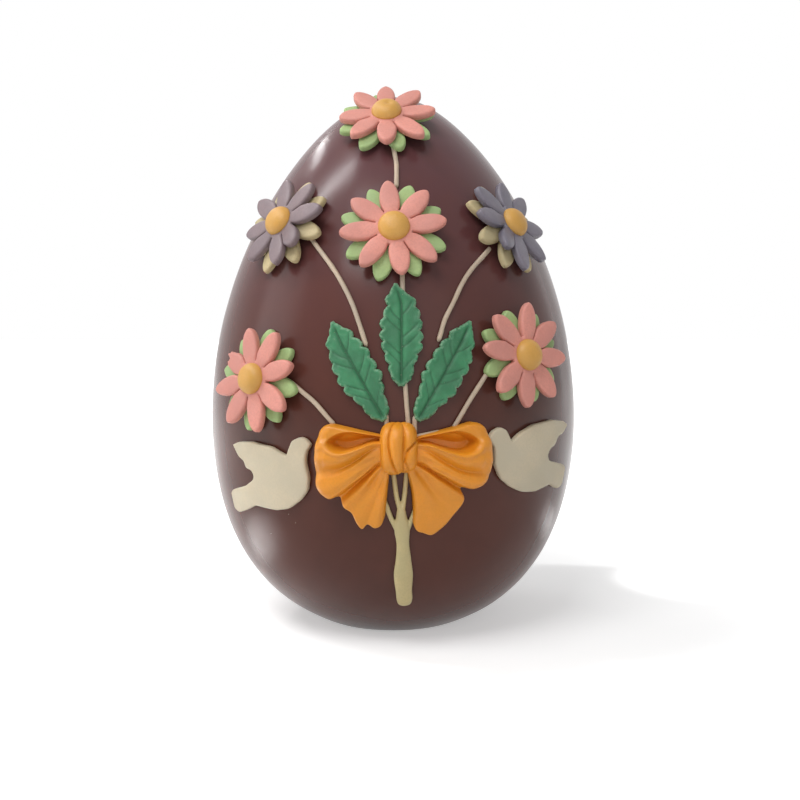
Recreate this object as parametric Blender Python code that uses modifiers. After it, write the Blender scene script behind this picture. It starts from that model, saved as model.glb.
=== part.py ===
"""Chocolate egg with sugar-paste flowers, leaves, doves and a bow, and piped stems."""
import math

import bmesh
import bpy
from mathutils import Matrix, Vector

MM = 0.001
GAP = 0.3 * MM              # clearance wherever one piece rests on another

# The egg: a full egg form that is cut flat underneath, so that it stands.
EGG_HEIGHT = 200 * MM
EGG_FOOT_CUT = 5 * MM       # height of the rounded end that the flat foot takes away
EGG_RADIUS = 68.8 * MM
EGG_TAPER = (-0.192, 0.020, -0.102)
EGG_RINGS = 19
EGG_STEPS = 44

# Flowers: two cut-out daisies, one turned on the other, and a ball pressed on top.
PETALS = 8
PETAL_THICKNESS = 2.6 * MM
UNDER_THICKNESS = 2.4 * MM
PETAL_EDGE = 0.5 * MM       # softened upper edge
PETAL_NOTCH = 6.2 * MM      # where neighbouring petals part
PETAL_HALF_WIDTH = 3.5 * MM
PETAL_SLIT = math.radians(0.7)
PETAL_SHAPE = ((0.50, 0.98), (0.76, 0.88), (0.945, 0.44))
TORN_TIP = ((0.50, -0.98), (0.78, -0.84), (0.90, -0.52), (0.87, -0.10), (1.0, 0.16),
            (0.94, 0.56), (0.76, 0.88), (0.50, 0.98))
BUTTON_RADIUS = 5.4 * MM
BUTTON_HEIGHT = 3.1 * MM
BUTTON_STEPS = 16

# name: azimuth, height (mm), lean back and sideways (degrees), petal reaches and
# directions (mm, degrees clockwise from the top), the under layer's reach and turn
FLOWERS = {
    "flower_top": dict(
        at=(-4.6, 186.3), lean=(-1.5, 0.5), under=(17.8, 27),
        reach=(17.0, 17.5, 17.5, 19.0, 17.0, 17.5, 17.0, 17.5),
        turn=(-5, 39, 85, 134, 176, 223, 262, 314)),
    "flower_centre": dict(
        at=(0.2, 145.5), lean=(0.0, 0.2), under=(18.4, 17),
        reach=(18.0, 18.0, 18.0, 18.5, 17.5, 18.0, 18.5, 18.0),
        turn=(-8, 40, 82, 129, 170, 219, 263, 306)),
    "flower_left": dict(
        at=(-40.9, 95.5), lean=(-2.8, 2.8), under=(17.6, 8),
        reach=(18.0, 18.5, 18.0, 18.5, 18.5, 18.5, 17.5, 15.6),
        turn=(-15, 29, 72, 121, 165, 212, 255, 298), torn=7),
    "flower_right": dict(
        at=(39.2, 103.6), lean=(-0.2, -4.2), under=(16.8, 31),
        reach=(18.5, 18.0, 17.5, 18.5, 18.0, 18.0, 18.0, 18.5),
        turn=(11, 52, 97, 143, 188, 230, 281, 319)),
    "flower_mauve_left": dict(
        at=(-43.0, 148.1), lean=(-0.9, -0.8), under=(17.8, 8),
        reach=(18.0, 17.5, 18.5, 16.0, 17.5, 17.5, 17.0, 18.5),
        turn=(-15, 33, 74, 126, 162, 215, 255, 301)),
    "flower_mauve_right": dict(
        at=(46.1, 147.6), lean=(-3.0, 2.9), under=(17.8, 30),
        reach=(17.5, 17.5, 17.0, 18.0, 19.0, 15.8, 18.0, 18.5),
        turn=(11, 50, 98, 140, 191, 228, 280, 316)),
}

# Leaves: azimuth, height (mm), turn (degrees), length, half width and how far the tip
# hooks sideways (mm).
LEAVES = {
    "leaf_centre": ((2.3, 112.2), -0.5, 35.5, 6.7, -1.9),
    "leaf_left": ((-10.3, 100.0), 30.5, 38.6, 6.7, 0.6),
    "leaf_right": ((14.8, 100.1), -31.5, 39.4, 6.4, -0.5),
}
LEAF_THICKNESS = 1.7 * MM
LEAF_RIM = 1.1 * MM         # thickness at the serrated edge
LEAF_VEIN = 0.5 * MM        # how deep the midrib is pressed in
LEAF_TEETH = 8
LEAF_SHAPE = ((0, 0.18), (0.10, 0.55), (0.42, 1.0), (0.60, 1.0), (0.80, 0.72), (1, 0.07))
LEAF_TOOTH = 0.13           # tooth depth as a share of the half width

# Doves: flat cut-outs, outlines in mm about the middle of the body.
DOVE_THICKNESS = 2.2 * MM
DOVE_EDGE = 0.4 * MM
DOVE_GRID = 7 * MM
DOVES = {
    "dove_left": ((-40.0, 61.0), (
        (-14.6, 11.4), (-11.0, 12.6), (-4.3, 13.2), (5.0, 12.3), (11.8, 9.6), (12.6, 11.6),
        (14.2, 15.0), (17.4, 16.4), (19.4, 15.8), (21.3, 13.9), (19.5, 11.0), (19.1, 7.4),
        (19.9, 2.6), (18.9, -1.8), (15.6, -5.6), (10.8, -8.7), (5.5, -9.8), (-4.6, -9.3),
        (-10.4, -11.8), (-15.6, -13.4), (-18.2, -12.4), (-19.0, -6.4), (-17.6, -5.2),
        (-8.9, -2.7), (-4.2, 0.0), (-3.4, 1.6), (-4.6, 3.3), (-7.4, 3.8), (-8.2, 6.2),
        (-11.0, 7.4))),
    "dove_right": ((45.0, 67.0), (
        (-23.0, 9.8), (-20.9, 12.2), (-18.2, 13.4), (-15.6, 12.2), (-13.4, 8.1), (-9.4, 10.8),
        (-3.0, 13.1), (8.2, 14.0), (15.6, 12.9), (19.2, 11.4), (15.3, 8.6), (11.2, 7.6),
        (9.2, 4.8), (6.4, 3.9), (4.9, 1.9), (6.2, -0.2), (17.6, -3.0), (19.0, -4.2),
        (17.3, -10.8), (14.4, -11.4), (8.1, -9.0), (-0.3, -10.4), (-7.0, -9.8), (-12.8, -7.4),
        (-17.2, -4.0), (-20.0, 0.9), (-20.3, 6.6))),
}

# Bow: two wings that fan out from the knot, each a hollow loop with a tail below it.
BOW_AT = (1.4, 74.0)
KNOT_MIDDLE = (0.0, 0.4)
KNOT_HALF = (5.5, 8.5)
KNOT_HEIGHT = 10.4
KNOT_WRAPS = 4
KNOT_VALLEY = 0.14          # depth of the creases between the wraps, as a share
KNOT_TUCK = 0.45            # the wings start this far outside the knot's outline
WING_COLUMNS = 8
WING_ROOT_HEIGHT = 5.2
# share of the way down the fan, outer edge x and y, crown height (all mm), down the wing
WING_LEFT = (
    (0.00, -21.8, 7.9, 2.6), (0.05, -23.6, 7.3, 3.6), (0.10, -24.8, 6.2, 5.0),
    (0.21, -25.9, 3.4, 7.2), (0.27, -26.1, 1.9, 8.0), (0.35, -26.3, -0.5, 7.6),
    (0.44, -26.4, -3.6, 6.3), (0.54, -26.4, -8.0, 7.2), (0.63, -26.0, -13.0, 5.8),
    (0.71, -22.6, -16.6, 6.4), (0.785, -19.0, -16.5, 2.6), (0.83, -17.3, -19.2, 4.6),
    (0.88, -14.4, -21.2, 3.4), (0.92, -12.2, -25.6, 2.8), (0.945, -10.2, -24.6, 4.0),
    (0.975, -7.2, -25.6, 5.0), (1.00, -4.4, -22.6, 3.2))
WING_RIGHT = (
    (0.00, 24.0, 8.3, 2.6), (0.05, 26.0, 7.9, 3.6), (0.10, 27.6, 7.0, 5.0),
    (0.21, 29.4, 3.7, 7.2), (0.27, 29.9, 1.8, 8.0), (0.34, 30.5, -0.6, 7.6),
    (0.43, 30.9, -4.4, 6.3), (0.52, 30.2, -8.2, 7.2), (0.60, 28.4, -11.4, 5.8),
    (0.68, 24.6, -13.5, 6.2), (0.755, 20.6, -13.9, 2.6), (0.80, 21.2, -17.2, 4.4),
    (0.86, 17.6, -22.4, 3.4), (0.92, 12.8, -26.9, 4.2), (0.955, 9.8, -28.8, 5.0),
    (0.98, 6.8, -27.2, 4.6), (1.00, 4.9, -24.8, 3.0))
# hollow of each loop: its middle and half its depth down the fan, how quickly its wall
# falls, and where it begins and ends outward
LOOP_HOLLOW = (0.155, 0.10, 0.05, 0.06, 0.90)
LOOP_FLOOR = 1.6

# Piped stems: azimuth and height (mm) along each, and the flower each one starts under.
STEM_RADIUS = 0.75 * MM
STEM_START = 17.3 * MM      # distance from the flower's middle
STEMS = {
    "stem_top": ("flower_top", ((0.0, 177.0), (1.5, 170.0), (1.4, 163.8))),
    "stem_centre_upper": ("flower_centre", ((2.4, 133.0), (2.9, 127.6))),
    "stem_centre_lower": (None, ((3.3, 93.6), (3.6, 88.0), (3.9, 83.6))),
    "stem_upper_left": ("flower_mauve_left", (
        (-29.6, 143.2), (-25.0, 139.5), (-20.0, 134.0), (-15.6, 127.9), (-12.2, 121.5),
        (-9.8, 115.0), (-8.3, 110.2))),
    "stem_upper_right": ("flower_mauve_right", (
        (36.5, 142.0), (31.0, 138.0), (25.7, 133.0), (21.6, 128.0), (18.3, 122.2),
        (15.2, 116.6), (13.6, 111.8))),
    "stem_pink_left": ("flower_left", (
        (-31.0, 95.6), (-27.0, 93.2), (-22.0, 89.0), (-17.6, 83.6))),
    "stem_pink_right": ("flower_right", (
        (27.4, 98.6), (24.6, 95.2), (21.6, 90.2), (18.6, 84.2), (17.6, 82.9))),
    "stem_leaf_left": (None, ((-1.9, 83.0), (-1.8, 82.0))),
    "stem_leaf_right": (None, ((5.8, 82.8), (5.6, 80.7))),
    "stem_side": (None, ((7.1, 80.2), (10.6, 81.0))),
}

# The gathered stalks below the bow: one stout stalk and the lines that run into it.
STALK_PATH = (
    # azimuth, height (mm), half width, thickness (mm)
    (1.9, 56.4, 0.9, 1.8), (2.1, 51.6, 1.9, 2.2), (2.4, 47.0, 2.6, 2.6), (2.7, 42.6, 2.2, 2.8),
    (3.0, 36.6, 2.8, 3.2), (3.1, 31.6, 3.3, 3.4), (3.4, 25.6, 2.9, 3.2), (3.9, 19.4, 2.2, 2.8),
    (4.1, 16.4, 1.2, 1.8))
STALK_LINES = (
    ((0.8, 63.6), (1.3, 59.6), (1.9, 54.6)),
    ((3.9, 63.8), (3.1, 59.0), (2.0, 53.6)),
    ((-1.0, 53.6), (-0.1, 51.0), (1.4, 47.4)),
    ((4.9, 53.2), (4.3, 50.6), (3.3, 47.2)))
STALK_LINE_RADIUS = 0.85 * MM

COLOURS = {
    "chocolate": (0.13, 0.065, 0.055), "pink": (0.62, 0.25, 0.19), "green": (0.30, 0.45, 0.22),
    "yellow": (0.62, 0.33, 0.08), "mauve": (0.22, 0.18, 0.20), "cream": (0.55, 0.48, 0.30),
    "leaf": (0.04, 0.17, 0.08), "white": (0.53, 0.46, 0.34), "orange": (0.62, 0.22, 0.03),
    "stem": (0.42, 0.35, 0.27)}


# ---------------------------------------------------------------- scene and objects

def clear_scene():
    for thing in list(bpy.data.objects):
        bpy.data.objects.remove(thing, do_unlink=True)


def collection(name):
    made = bpy.data.collections.new(name)
    bpy.context.scene.collection.children.link(made)
    return made


def material(name, colour, roughness=0.6):
    made = bpy.data.materials.new(name)
    made.use_nodes = True
    shader = made.node_tree.nodes["Principled BSDF"]
    shader.inputs["Base Color"].default_value = (*colour, 1.0)
    shader.inputs["Roughness"].default_value = roughness
    made.diffuse_color = (*colour, 1.0)
    return made


def add_mesh(name, bm, where, colour, smooth_angle=35):
    bmesh.ops.triangulate(bm, faces=[f for f in bm.faces if len(f.verts) > 4])
    bmesh.ops.recalc_face_normals(bm, faces=bm.faces)
    data = bpy.data.meshes.new(name)
    bm.to_mesh(data)
    bm.free()
    data.shade_smooth()
    data.set_sharp_from_angle(angle=math.radians(smooth_angle))
    data.materials.append(material(name, COLOURS[colour]))
    made = bpy.data.objects.new(name, data)
    where.objects.link(made)
    return made


def loft(bm, rings, closed_ends=True):
    """Bridge closed rings of equal length, and close the first and last with a face."""
    rows = [[bm.verts.new(p) for p in ring] for ring in rings]
    count = len(rows[0])
    for low, high in zip(rows, rows[1:]):
        for i in range(count):
            j = (i + 1) % count
            bm.faces.new((low[i], low[j], high[j], high[i]))
    if closed_ends:
        bm.faces.new(rows[0])
        bm.faces.new(rows[-1])
    return rows


# ---------------------------------------------------------------- the egg's surface

def egg_radius(z):
    t = 2 * (z + EGG_FOOT_CUT) / (EGG_HEIGHT + EGG_FOOT_CUT) - 1
    a, b, c = EGG_TAPER
    return EGG_RADIUS * math.sqrt(max(1 - t * t, 0)) * (1 + a * t + b * t * t + c * t ** 3)


def egg_slope(z):
    step = 0.01 * MM
    return (egg_radius(z + step) - egg_radius(z - step)) / (2 * step)


def on_egg(azimuth, z, height=0.0):
    """A point above the egg: azimuth 0 is the front, and positive is to the right."""
    r, slope = egg_radius(z), egg_slope(z)
    normal = Vector((math.sin(azimuth), -math.cos(azimuth), -slope)).normalized()
    return Vector((r * math.sin(azimuth), -r * math.cos(azimuth), z)) + normal * height


def egg_frame(azimuth, z, height=0.0):
    """Axes right, up the egg and outward at a point above it."""
    out = Vector((math.sin(azimuth), -math.cos(azimuth), -egg_slope(z))).normalized()
    right = Vector((math.cos(azimuth), math.sin(azimuth), 0))
    up = out.cross(right)
    frame = Matrix((right, up, out)).transposed().to_4x4()
    frame.translation = on_egg(azimuth, z, height)
    return frame


def wrap(at, turn, x, y, height):
    """Lay a flat drawing on the egg: x to the right and y up from a middle point."""
    azimuth, z = math.radians(at[0]), at[1] * MM
    across = x * math.cos(turn) - y * math.sin(turn)
    along = x * math.sin(turn) + y * math.cos(turn)
    half_way = z + 0.5 * along / math.hypot(1, egg_slope(z))
    z += along / math.hypot(1, egg_slope(half_way))
    return on_egg(azimuth + across / egg_radius(z), z, height)


def smooth(x):
    x = min(max(x, 0.0), 1.0)
    return x * x * (3 - 2 * x)


def build_egg(where):
    top = Vector((0, 0, EGG_HEIGHT))
    profile = [top]
    foot_angle = math.acos(2 * EGG_FOOT_CUT / (EGG_HEIGHT + EGG_FOOT_CUT) - 1)
    for i in range(1, EGG_RINGS + 1):
        t = math.cos(foot_angle * i / EGG_RINGS)
        z = max((t + 1) / 2 * (EGG_HEIGHT + EGG_FOOT_CUT) - EGG_FOOT_CUT, 0)
        profile.append(Vector((egg_radius(z), 0, z)))
    profile.append(Vector((0, 0, 0)))
    data = bpy.data.meshes.new("egg")
    data.from_pydata(profile, [(i, i + 1) for i in range(len(profile) - 1)], [])
    data.materials.append(material("egg", COLOURS["chocolate"], 0.35))
    egg = bpy.data.objects.new("egg", data)
    where.objects.link(egg)
    turned(egg, EGG_STEPS)


def turned(thing, steps):
    screw = thing.modifiers.new("Turn", "SCREW")
    screw.steps = steps
    screw.render_steps = steps
    screw.use_merge_vertices = True
    screw.merge_threshold = 0.00001
    screw.use_smooth_shade = True


# ---------------------------------------------------------------- flowers

def daisy_outline(reaches, directions, half_width, torn=None):
    """Petal outlines, clockwise, with a notch between each petal and the next."""
    points = []
    for i, (reach, turn) in enumerate(zip(reaches, directions)):
        ahead = math.radians(turn)
        axis = Vector((math.sin(ahead), math.cos(ahead)))
        side = Vector((axis.y, -axis.x))
        sides = [(s, -w) for s, w in PETAL_SHAPE] + [(1.0, 0)] + \
            [(s, w) for s, w in reversed(PETAL_SHAPE)]
        if i == torn:
            sides = TORN_TIP
        following = math.radians((directions[(i + 1) % PETALS] - turn) % 360) / 2
        before = math.radians((turn - directions[i - 1]) % 360) / 2
        for s, w in sides:
            # a petal stays within its own share of the circle, so neighbours never cross
            room = (following if w > 0 else before) - PETAL_SLIT
            across = min(abs(w) * half_width, reach * s * math.tan(room))
            points.append(axis * reach * s + side * math.copysign(across, w))
        between = ahead + following
        points.append(Vector((math.sin(between), math.cos(between))) * PETAL_NOTCH)
    return points


def inset(points, distance):
    """Move every point of a clockwise outline inward by a distance."""
    moved = []
    for i, p in enumerate(points):
        before = (p - points[i - 1]).normalized()
        after = (points[(i + 1) % len(points)] - p).normalized()
        mean = (before + after).normalized()
        inward = Vector((mean.y, -mean.x))
        moved.append(p + inward * distance / max(mean.dot(after), 0.5))
    return moved


def build_daisy(name, where, frame, outline, thickness, edge, colour):
    levels = [(0.0, outline)]
    if edge:
        levels += [(thickness - edge, outline), (thickness, inset(outline, edge))]
    else:
        levels.append((thickness, outline))
    rings = [[frame @ Vector((p.x, p.y, z)) for p in points] for z, points in levels]
    bm = bmesh.new()
    loft(bm, rings)
    add_mesh(name, bm, where, colour)


def build_button(name, where, frame):
    profile = [(0.0, 1.0), (0.50, 0.85), (0.86, 0.46), (1.0, 0.0), (0.0, 0.0)]
    points = [(r * BUTTON_RADIUS, 0, z * BUTTON_HEIGHT) for r, z in profile]
    data = bpy.data.meshes.new(name)
    data.from_pydata(points, [(i, i + 1) for i in range(len(points) - 1)], [])
    data.materials.append(material(name, COLOURS["yellow"]))
    button = bpy.data.objects.new(name, data)
    button.matrix_world = frame
    where.objects.link(button)
    turned(button, BUTTON_STEPS)


def flower_frame(flower, height):
    azimuth, z = flower["at"]
    back, sideways = flower["lean"]
    frame = egg_frame(math.radians(azimuth), z * MM)
    lean = Matrix.Rotation(math.radians(back), 4, "X") @ \
        Matrix.Rotation(math.radians(sideways), 4, "Y")
    return frame @ lean @ Matrix.Translation((0, 0, height))


def build_flower(name, flower, where):
    mauve = "mauve" in name
    under_reach, under_turn = flower["under"]
    uneven = (0.3, -0.2, 0.1, -0.4, 0.2, -0.1, 0.4, -0.3)
    under = daisy_outline(
        [(under_reach + d) * MM for d in uneven],
        [under_turn + 45 * i + 4 * uneven[i - 2] for i in range(PETALS)],
        PETAL_HALF_WIDTH * 0.96)
    upper = daisy_outline([r * MM for r in flower["reach"]], flower["turn"],
                          PETAL_HALF_WIDTH, flower.get("torn"))
    base = GAP
    build_daisy(name + "_under", where, flower_frame(flower, base), under,
                UNDER_THICKNESS, 0, "cream" if mauve else "green")
    base += UNDER_THICKNESS + GAP
    build_daisy(name + "_petals", where, flower_frame(flower, base), upper,
                PETAL_THICKNESS, PETAL_EDGE, "mauve" if mauve else "pink")
    base += PETAL_THICKNESS + GAP
    build_button(name + "_button", where, flower_frame(flower, base))


# ---------------------------------------------------------------- leaves and doves

def between(knots, s):
    """Smooth change from one (place, value) knot to the next."""
    for (low, first), (high, second) in zip(knots, knots[1:]):
        if s <= high:
            return first + (second - first) * smooth((s - low) / (high - low))
    return knots[-1][1]


def build_leaf(name, leaf, where):
    at, turn, length, half, hook = leaf
    rows = 2 * LEAF_TEETH + 1
    columns = (-1.0, -0.55, 0.0, 0.55, 1.0)
    top, bottom = [], []
    for i in range(rows):
        s = 0.985 * i / (rows - 1)
        tooth = 1 - LEAF_TOOTH * (1 if i % 2 else -0.4)
        width = half * between(LEAF_SHAPE, s) * tooth
        y = (s - 0.5) * length
        for side in columns:
            share = abs(side)
            thick = LEAF_THICKNESS + (LEAF_RIM - LEAF_THICKNESS) * share ** 2
            if side == 0:
                thick -= LEAF_VEIN * math.sin(math.pi * min(max(s, 0.02), 1))
            x = side * width + hook * smooth((s - 0.75) / 0.25)
            top.append(wrap(at, math.radians(turn), x * MM, y * MM, GAP + thick))
            bottom.append(wrap(at, math.radians(turn), x * MM, y * MM, GAP))
    add_mesh(name, grid_solid(top, bottom, rows, len(columns)), where, "leaf")


def grid_solid(top, bottom, rows, columns):
    """A closed solid between two grids of points."""
    bm = bmesh.new()
    above = [bm.verts.new(p) for p in top]
    below = [bm.verts.new(p) for p in bottom]

    def at(i, j):
        return i * columns + j

    for i in range(rows - 1):
        for j in range(columns - 1):
            corners = (at(i, j), at(i, j + 1), at(i + 1, j + 1), at(i + 1, j))
            bm.faces.new([above[k] for k in corners])
            bm.faces.new([below[k] for k in reversed(corners)])
    border = [at(0, j) for j in range(columns)]
    border += [at(i, columns - 1) for i in range(1, rows)]
    border += [at(rows - 1, j) for j in range(columns - 2, -1, -1)]
    border += [at(i, 0) for i in range(rows - 2, 0, -1)]
    for k, following in zip(border, border[1:] + border[:1]):
        bm.faces.new((above[k], below[k], below[following], above[following]))
    return bm


def build_dove(name, dove, where):
    at, outline = dove
    bm = bmesh.new()
    bm.faces.new([bm.verts.new((x * MM, y * MM, 0)) for x, y in outline])
    for axis in range(2):
        for step in range(-4, 5):
            middle, across = Vector((0, 0, 0)), Vector((0, 0, 0))
            middle[axis] = step * DOVE_GRID
            across[axis] = 1
            everything = bm.verts[:] + bm.edges[:] + bm.faces[:]
            bmesh.ops.bisect_plane(bm, geom=everything, plane_co=middle, plane_no=across)
    bmesh.ops.triangulate(bm, faces=bm.faces)
    flat = bm.faces[:]
    raised = bmesh.ops.extrude_face_region(bm, geom=flat)["geom"]
    lifted = {v for v in raised if isinstance(v, bmesh.types.BMVert)}
    for v in bm.verts:
        height = GAP + (DOVE_THICKNESS if v in lifted else 0)
        v.co = wrap(at, 0, v.co.x, v.co.y, height)
    add_mesh(name, bm, where, "white")


# ---------------------------------------------------------------- bow

def root_point(y, side):
    """A point beside the knot, just outside its outline."""
    half_x, half_y = (h + KNOT_TUCK for h in KNOT_HALF)
    share = (y - KNOT_MIDDLE[1]) / half_y
    return KNOT_MIDDLE[0] + side * half_x * math.sqrt(max(1 - share * share, 0)), y


def wing_height(u, v, crown):
    """Height of the ribbon: u runs from the knot outward, v from the top edge down."""
    height = WING_ROOT_HEIGHT + (crown - WING_ROOT_HEIGHT) * smooth(u / 0.45)
    middle, half, wall, begin, end = LOOP_HOLLOW
    across = smooth((half - abs(v - middle)) / wall)
    along = smooth((u - begin) / 0.3) * smooth((end - u) / 0.12)
    height += (LOOP_FLOOR - height) * across * along
    rounding = math.sqrt(max(1 - max(u - 0.86, 0) ** 2 / 0.14 ** 2 * 0.85, 0))
    return height * rounding


def build_wing(name, wing, side, where):
    top, bottom = [], []
    root_top, root_bottom = (5.6, -6.9) if side < 0 else (4.6, -7.4)
    for v, outer_x, outer_y, crown in wing:
        root_x, root_y = root_point(root_top + (root_bottom - root_top) * v, side)
        for j in range(WING_COLUMNS):
            u = 1 - (1 - j / (WING_COLUMNS - 1)) ** 1.35
            bend = 1.0 * math.sin(math.pi * u) * smooth((v - 0.8) / 0.2) if side > 0 else 0
            x = root_x + (outer_x - root_x) * u + bend
            y = root_y + (outer_y - root_y) * u
            height = wing_height(u, v, crown)
            top.append(wrap(BOW_AT, 0, x * MM, y * MM, height * MM + GAP))
            bottom.append(wrap(BOW_AT, 0, x * MM, y * MM, GAP))
    if side < 0:
        rows = [top[i:i + WING_COLUMNS] for i in range(0, len(top), WING_COLUMNS)]
        top = [p for row in rows for p in reversed(row)]
        rows = [bottom[i:i + WING_COLUMNS] for i in range(0, len(bottom), WING_COLUMNS)]
        bottom = [p for row in rows for p in reversed(row)]
    add_mesh(name, grid_solid(top, bottom, len(wing), WING_COLUMNS), where, "orange", 60)


def knot_height(x, y):
    """Height of the wraps: x and y are shares of the knot's half sizes."""
    crest = 0.5 - 0.5 * math.cos(math.pi * 2 * KNOT_WRAPS * (x + 1) / 2)
    body = (1 - abs(x) ** 3) ** 0.45 * (1 - abs(y) ** 3.2) ** 0.5
    return KNOT_HEIGHT * (0.22 + (0.78 - KNOT_VALLEY * (1 - crest)) * body)


def build_knot(where):
    """Wraps of ribbon side by side, rounded over the top and bottom."""
    rows, columns = 9, 2 * KNOT_WRAPS + 1
    top, bottom = [], []
    for i in range(rows):
        y = -0.97 * math.cos(math.pi * i / (rows - 1))
        reach = (1 - abs(y) ** 2.4) ** (1 / 2.4)
        for j in range(columns):
            x = 2 * j / (columns - 1) - 1
            place = ((KNOT_MIDDLE[0] + x * reach * KNOT_HALF[0]) * MM,
                     (KNOT_MIDDLE[1] + y * KNOT_HALF[1]) * MM)
            top.append(wrap(BOW_AT, 0, *place, GAP + knot_height(x, y) * MM))
            bottom.append(wrap(BOW_AT, 0, *place, GAP))
    add_mesh("bow_knot", grid_solid(top, bottom, rows, columns), where, "orange", 50)


# ---------------------------------------------------------------- stems

def stem_points(points, start_under, radius):
    """Points a little above the egg, starting clear of the flower's middle."""
    path = [on_egg(math.radians(a), z * MM, GAP + radius) for a, z in points]
    if start_under:
        azimuth, z = FLOWERS[start_under]["at"]
        middle = on_egg(math.radians(azimuth), z * MM, GAP + radius)
        while (path[1] - middle).length < STEM_START:
            path.pop(0)
        away, first = path[1] - path[0], path[0] - middle
        if first.length < STEM_START:
            a, b = away.dot(away), 2 * away.dot(first)
            c = first.dot(first) - STEM_START ** 2
            path[0] = path[0] + away * (-b + math.sqrt(b * b - 4 * a * c)) / (2 * a)
    return path


def build_stem(name, stem, where):
    start_under, points = stem
    path = stem_points(points, start_under, STEM_RADIUS)
    data = bpy.data.curves.new(name, "CURVE")
    data.dimensions = "3D"
    data.bevel_depth = STEM_RADIUS
    data.bevel_resolution = 1
    data.use_fill_caps = True
    line = data.splines.new("POLY")
    line.points.add(len(path) - 1)
    for point, place in zip(line.points, path):
        point.co = (*place, 1)
    data.materials.append(material(name, COLOURS["stem"]))
    where.objects.link(bpy.data.objects.new(name, data))


def sweep(path, halves, heights, sides):
    """Rings of a flattened round bar that follows a path over the egg."""
    rings = []
    for i, (azimuth, z) in enumerate(path):
        here = on_egg(math.radians(azimuth), z * MM)
        before = on_egg(*angle_height(path[max(i - 1, 0)]))
        after = on_egg(*angle_height(path[min(i + 1, len(path) - 1)]))
        out = (on_egg(math.radians(azimuth), z * MM, 1) - here).normalized()
        side = (after - before).cross(out).normalized()
        ring = []
        for k in range(sides):
            angle = 2 * math.pi * (k + 0.5) / sides
            lift = GAP + heights[i] * (0.5 + 0.5 * math.sin(angle))
            ring.append(here + side * halves[i] * math.cos(angle) + out * lift)
        rings.append(ring)
    return rings


def angle_height(place):
    return math.radians(place[0]), place[1] * MM


def build_stalk(where, cutters):
    bm = bmesh.new()
    path = [(a, z) for a, z, _, _ in STALK_PATH]
    loft(bm, sweep(path, [h * MM for _, _, h, _ in STALK_PATH],
                   [t * MM for _, _, _, t in STALK_PATH], 10))
    stalk = add_mesh("stalk", bm, where, "stem", 50)
    for number, line in enumerate(STALK_LINES):
        bm = bmesh.new()
        count = len(line)
        loft(bm, sweep(line, [STALK_LINE_RADIUS] * count, [2 * STALK_LINE_RADIUS] * count, 8))
        joined = add_mesh(f"stalk_line_{number + 1}", bm, cutters, "stem", 50)
        joined.hide_render = True
        joined.display_type = "WIRE"
        union = stalk.modifiers.new(f"Join {number + 1}", "BOOLEAN")
        union.operation = "UNION"
        union.solver = "EXACT"
        union.object = joined


def main():
    clear_scene()
    egg = collection("decorated_egg")
    cutters = collection("joined_shapes")
    build_egg(egg)
    for name, flower in FLOWERS.items():
        build_flower(name, flower, egg)
    for name, leaf in LEAVES.items():
        build_leaf(name, leaf, egg)
    for name, dove in DOVES.items():
        build_dove(name, dove, egg)
    build_wing("bow_left", WING_LEFT, -1, egg)
    build_wing("bow_right", WING_RIGHT, 1, egg)
    build_knot(egg)
    for name, stem in STEMS.items():
        build_stem(name, stem, egg)
    build_stalk(egg, cutters)


main()
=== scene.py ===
"""Looks for the decorated chocolate egg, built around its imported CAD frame."""

import math
import random

import bmesh
import bpy
import numpy as np
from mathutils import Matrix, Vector, noise
from mathutils.geometry import delaunay_2d_cdt


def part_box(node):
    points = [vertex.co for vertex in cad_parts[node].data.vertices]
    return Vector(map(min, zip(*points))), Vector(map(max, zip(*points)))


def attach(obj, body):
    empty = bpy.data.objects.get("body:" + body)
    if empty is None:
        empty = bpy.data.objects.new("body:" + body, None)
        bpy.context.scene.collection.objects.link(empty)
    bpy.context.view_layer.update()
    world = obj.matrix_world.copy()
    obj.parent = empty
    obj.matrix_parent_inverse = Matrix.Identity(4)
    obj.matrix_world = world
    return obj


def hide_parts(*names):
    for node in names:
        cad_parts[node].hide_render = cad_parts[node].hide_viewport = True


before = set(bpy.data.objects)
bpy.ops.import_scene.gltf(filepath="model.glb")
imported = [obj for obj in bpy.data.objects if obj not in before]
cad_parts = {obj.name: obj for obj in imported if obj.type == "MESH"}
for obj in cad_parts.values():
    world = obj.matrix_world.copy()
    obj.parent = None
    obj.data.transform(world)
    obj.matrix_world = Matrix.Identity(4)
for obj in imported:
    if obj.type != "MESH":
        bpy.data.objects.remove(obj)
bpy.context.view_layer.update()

MM = 0.001
FLOWERS = ("flower_top", "flower_centre", "flower_left", "flower_right",
           "flower_mauve_left", "flower_mauve_right")
PETALS = 8
STEMS = ("stem_top", "stem_centre_upper", "stem_centre_lower", "stem_upper_left",
         "stem_upper_right", "stem_pink_left", "stem_pink_right", "stem_leaf_left",
         "stem_leaf_right", "stem_side")


# ---------------------------------------------------------------- reading the frame

def merged(node):
    """A CAD node's mesh with its points joined; the caller frees it."""
    bm = bmesh.new()
    bm.from_mesh(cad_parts[node].data)
    bmesh.ops.remove_doubles(bm, verts=bm.verts, dist=1e-6)
    return bm


def points_of(node):
    """A CAD node's points, each one once."""
    bm = merged(node)
    found = np.array([v.co for v in bm.verts])
    bm.free()
    return found


def fit_egg():
    """The egg's height, how far its lower end is cut off, and the cubic of its radius."""
    found = points_of("egg")
    top = found[:, 2].max()
    cut = 5 * MM
    t = 2 * (found[:, 2] + cut) / (top + cut) - 1
    r = np.hypot(found[:, 0], found[:, 1])
    # the foot's middle and the very top say nothing about the curve
    inside = (r > 5 * MM) & (t < 0.995)
    cubic = np.polyfit(t[inside], r[inside] / np.sqrt(1 - t[inside] ** 2), 3)
    return top, cut, cubic


EGG_TOP, EGG_CUT, EGG_CUBIC = fit_egg()


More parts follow.
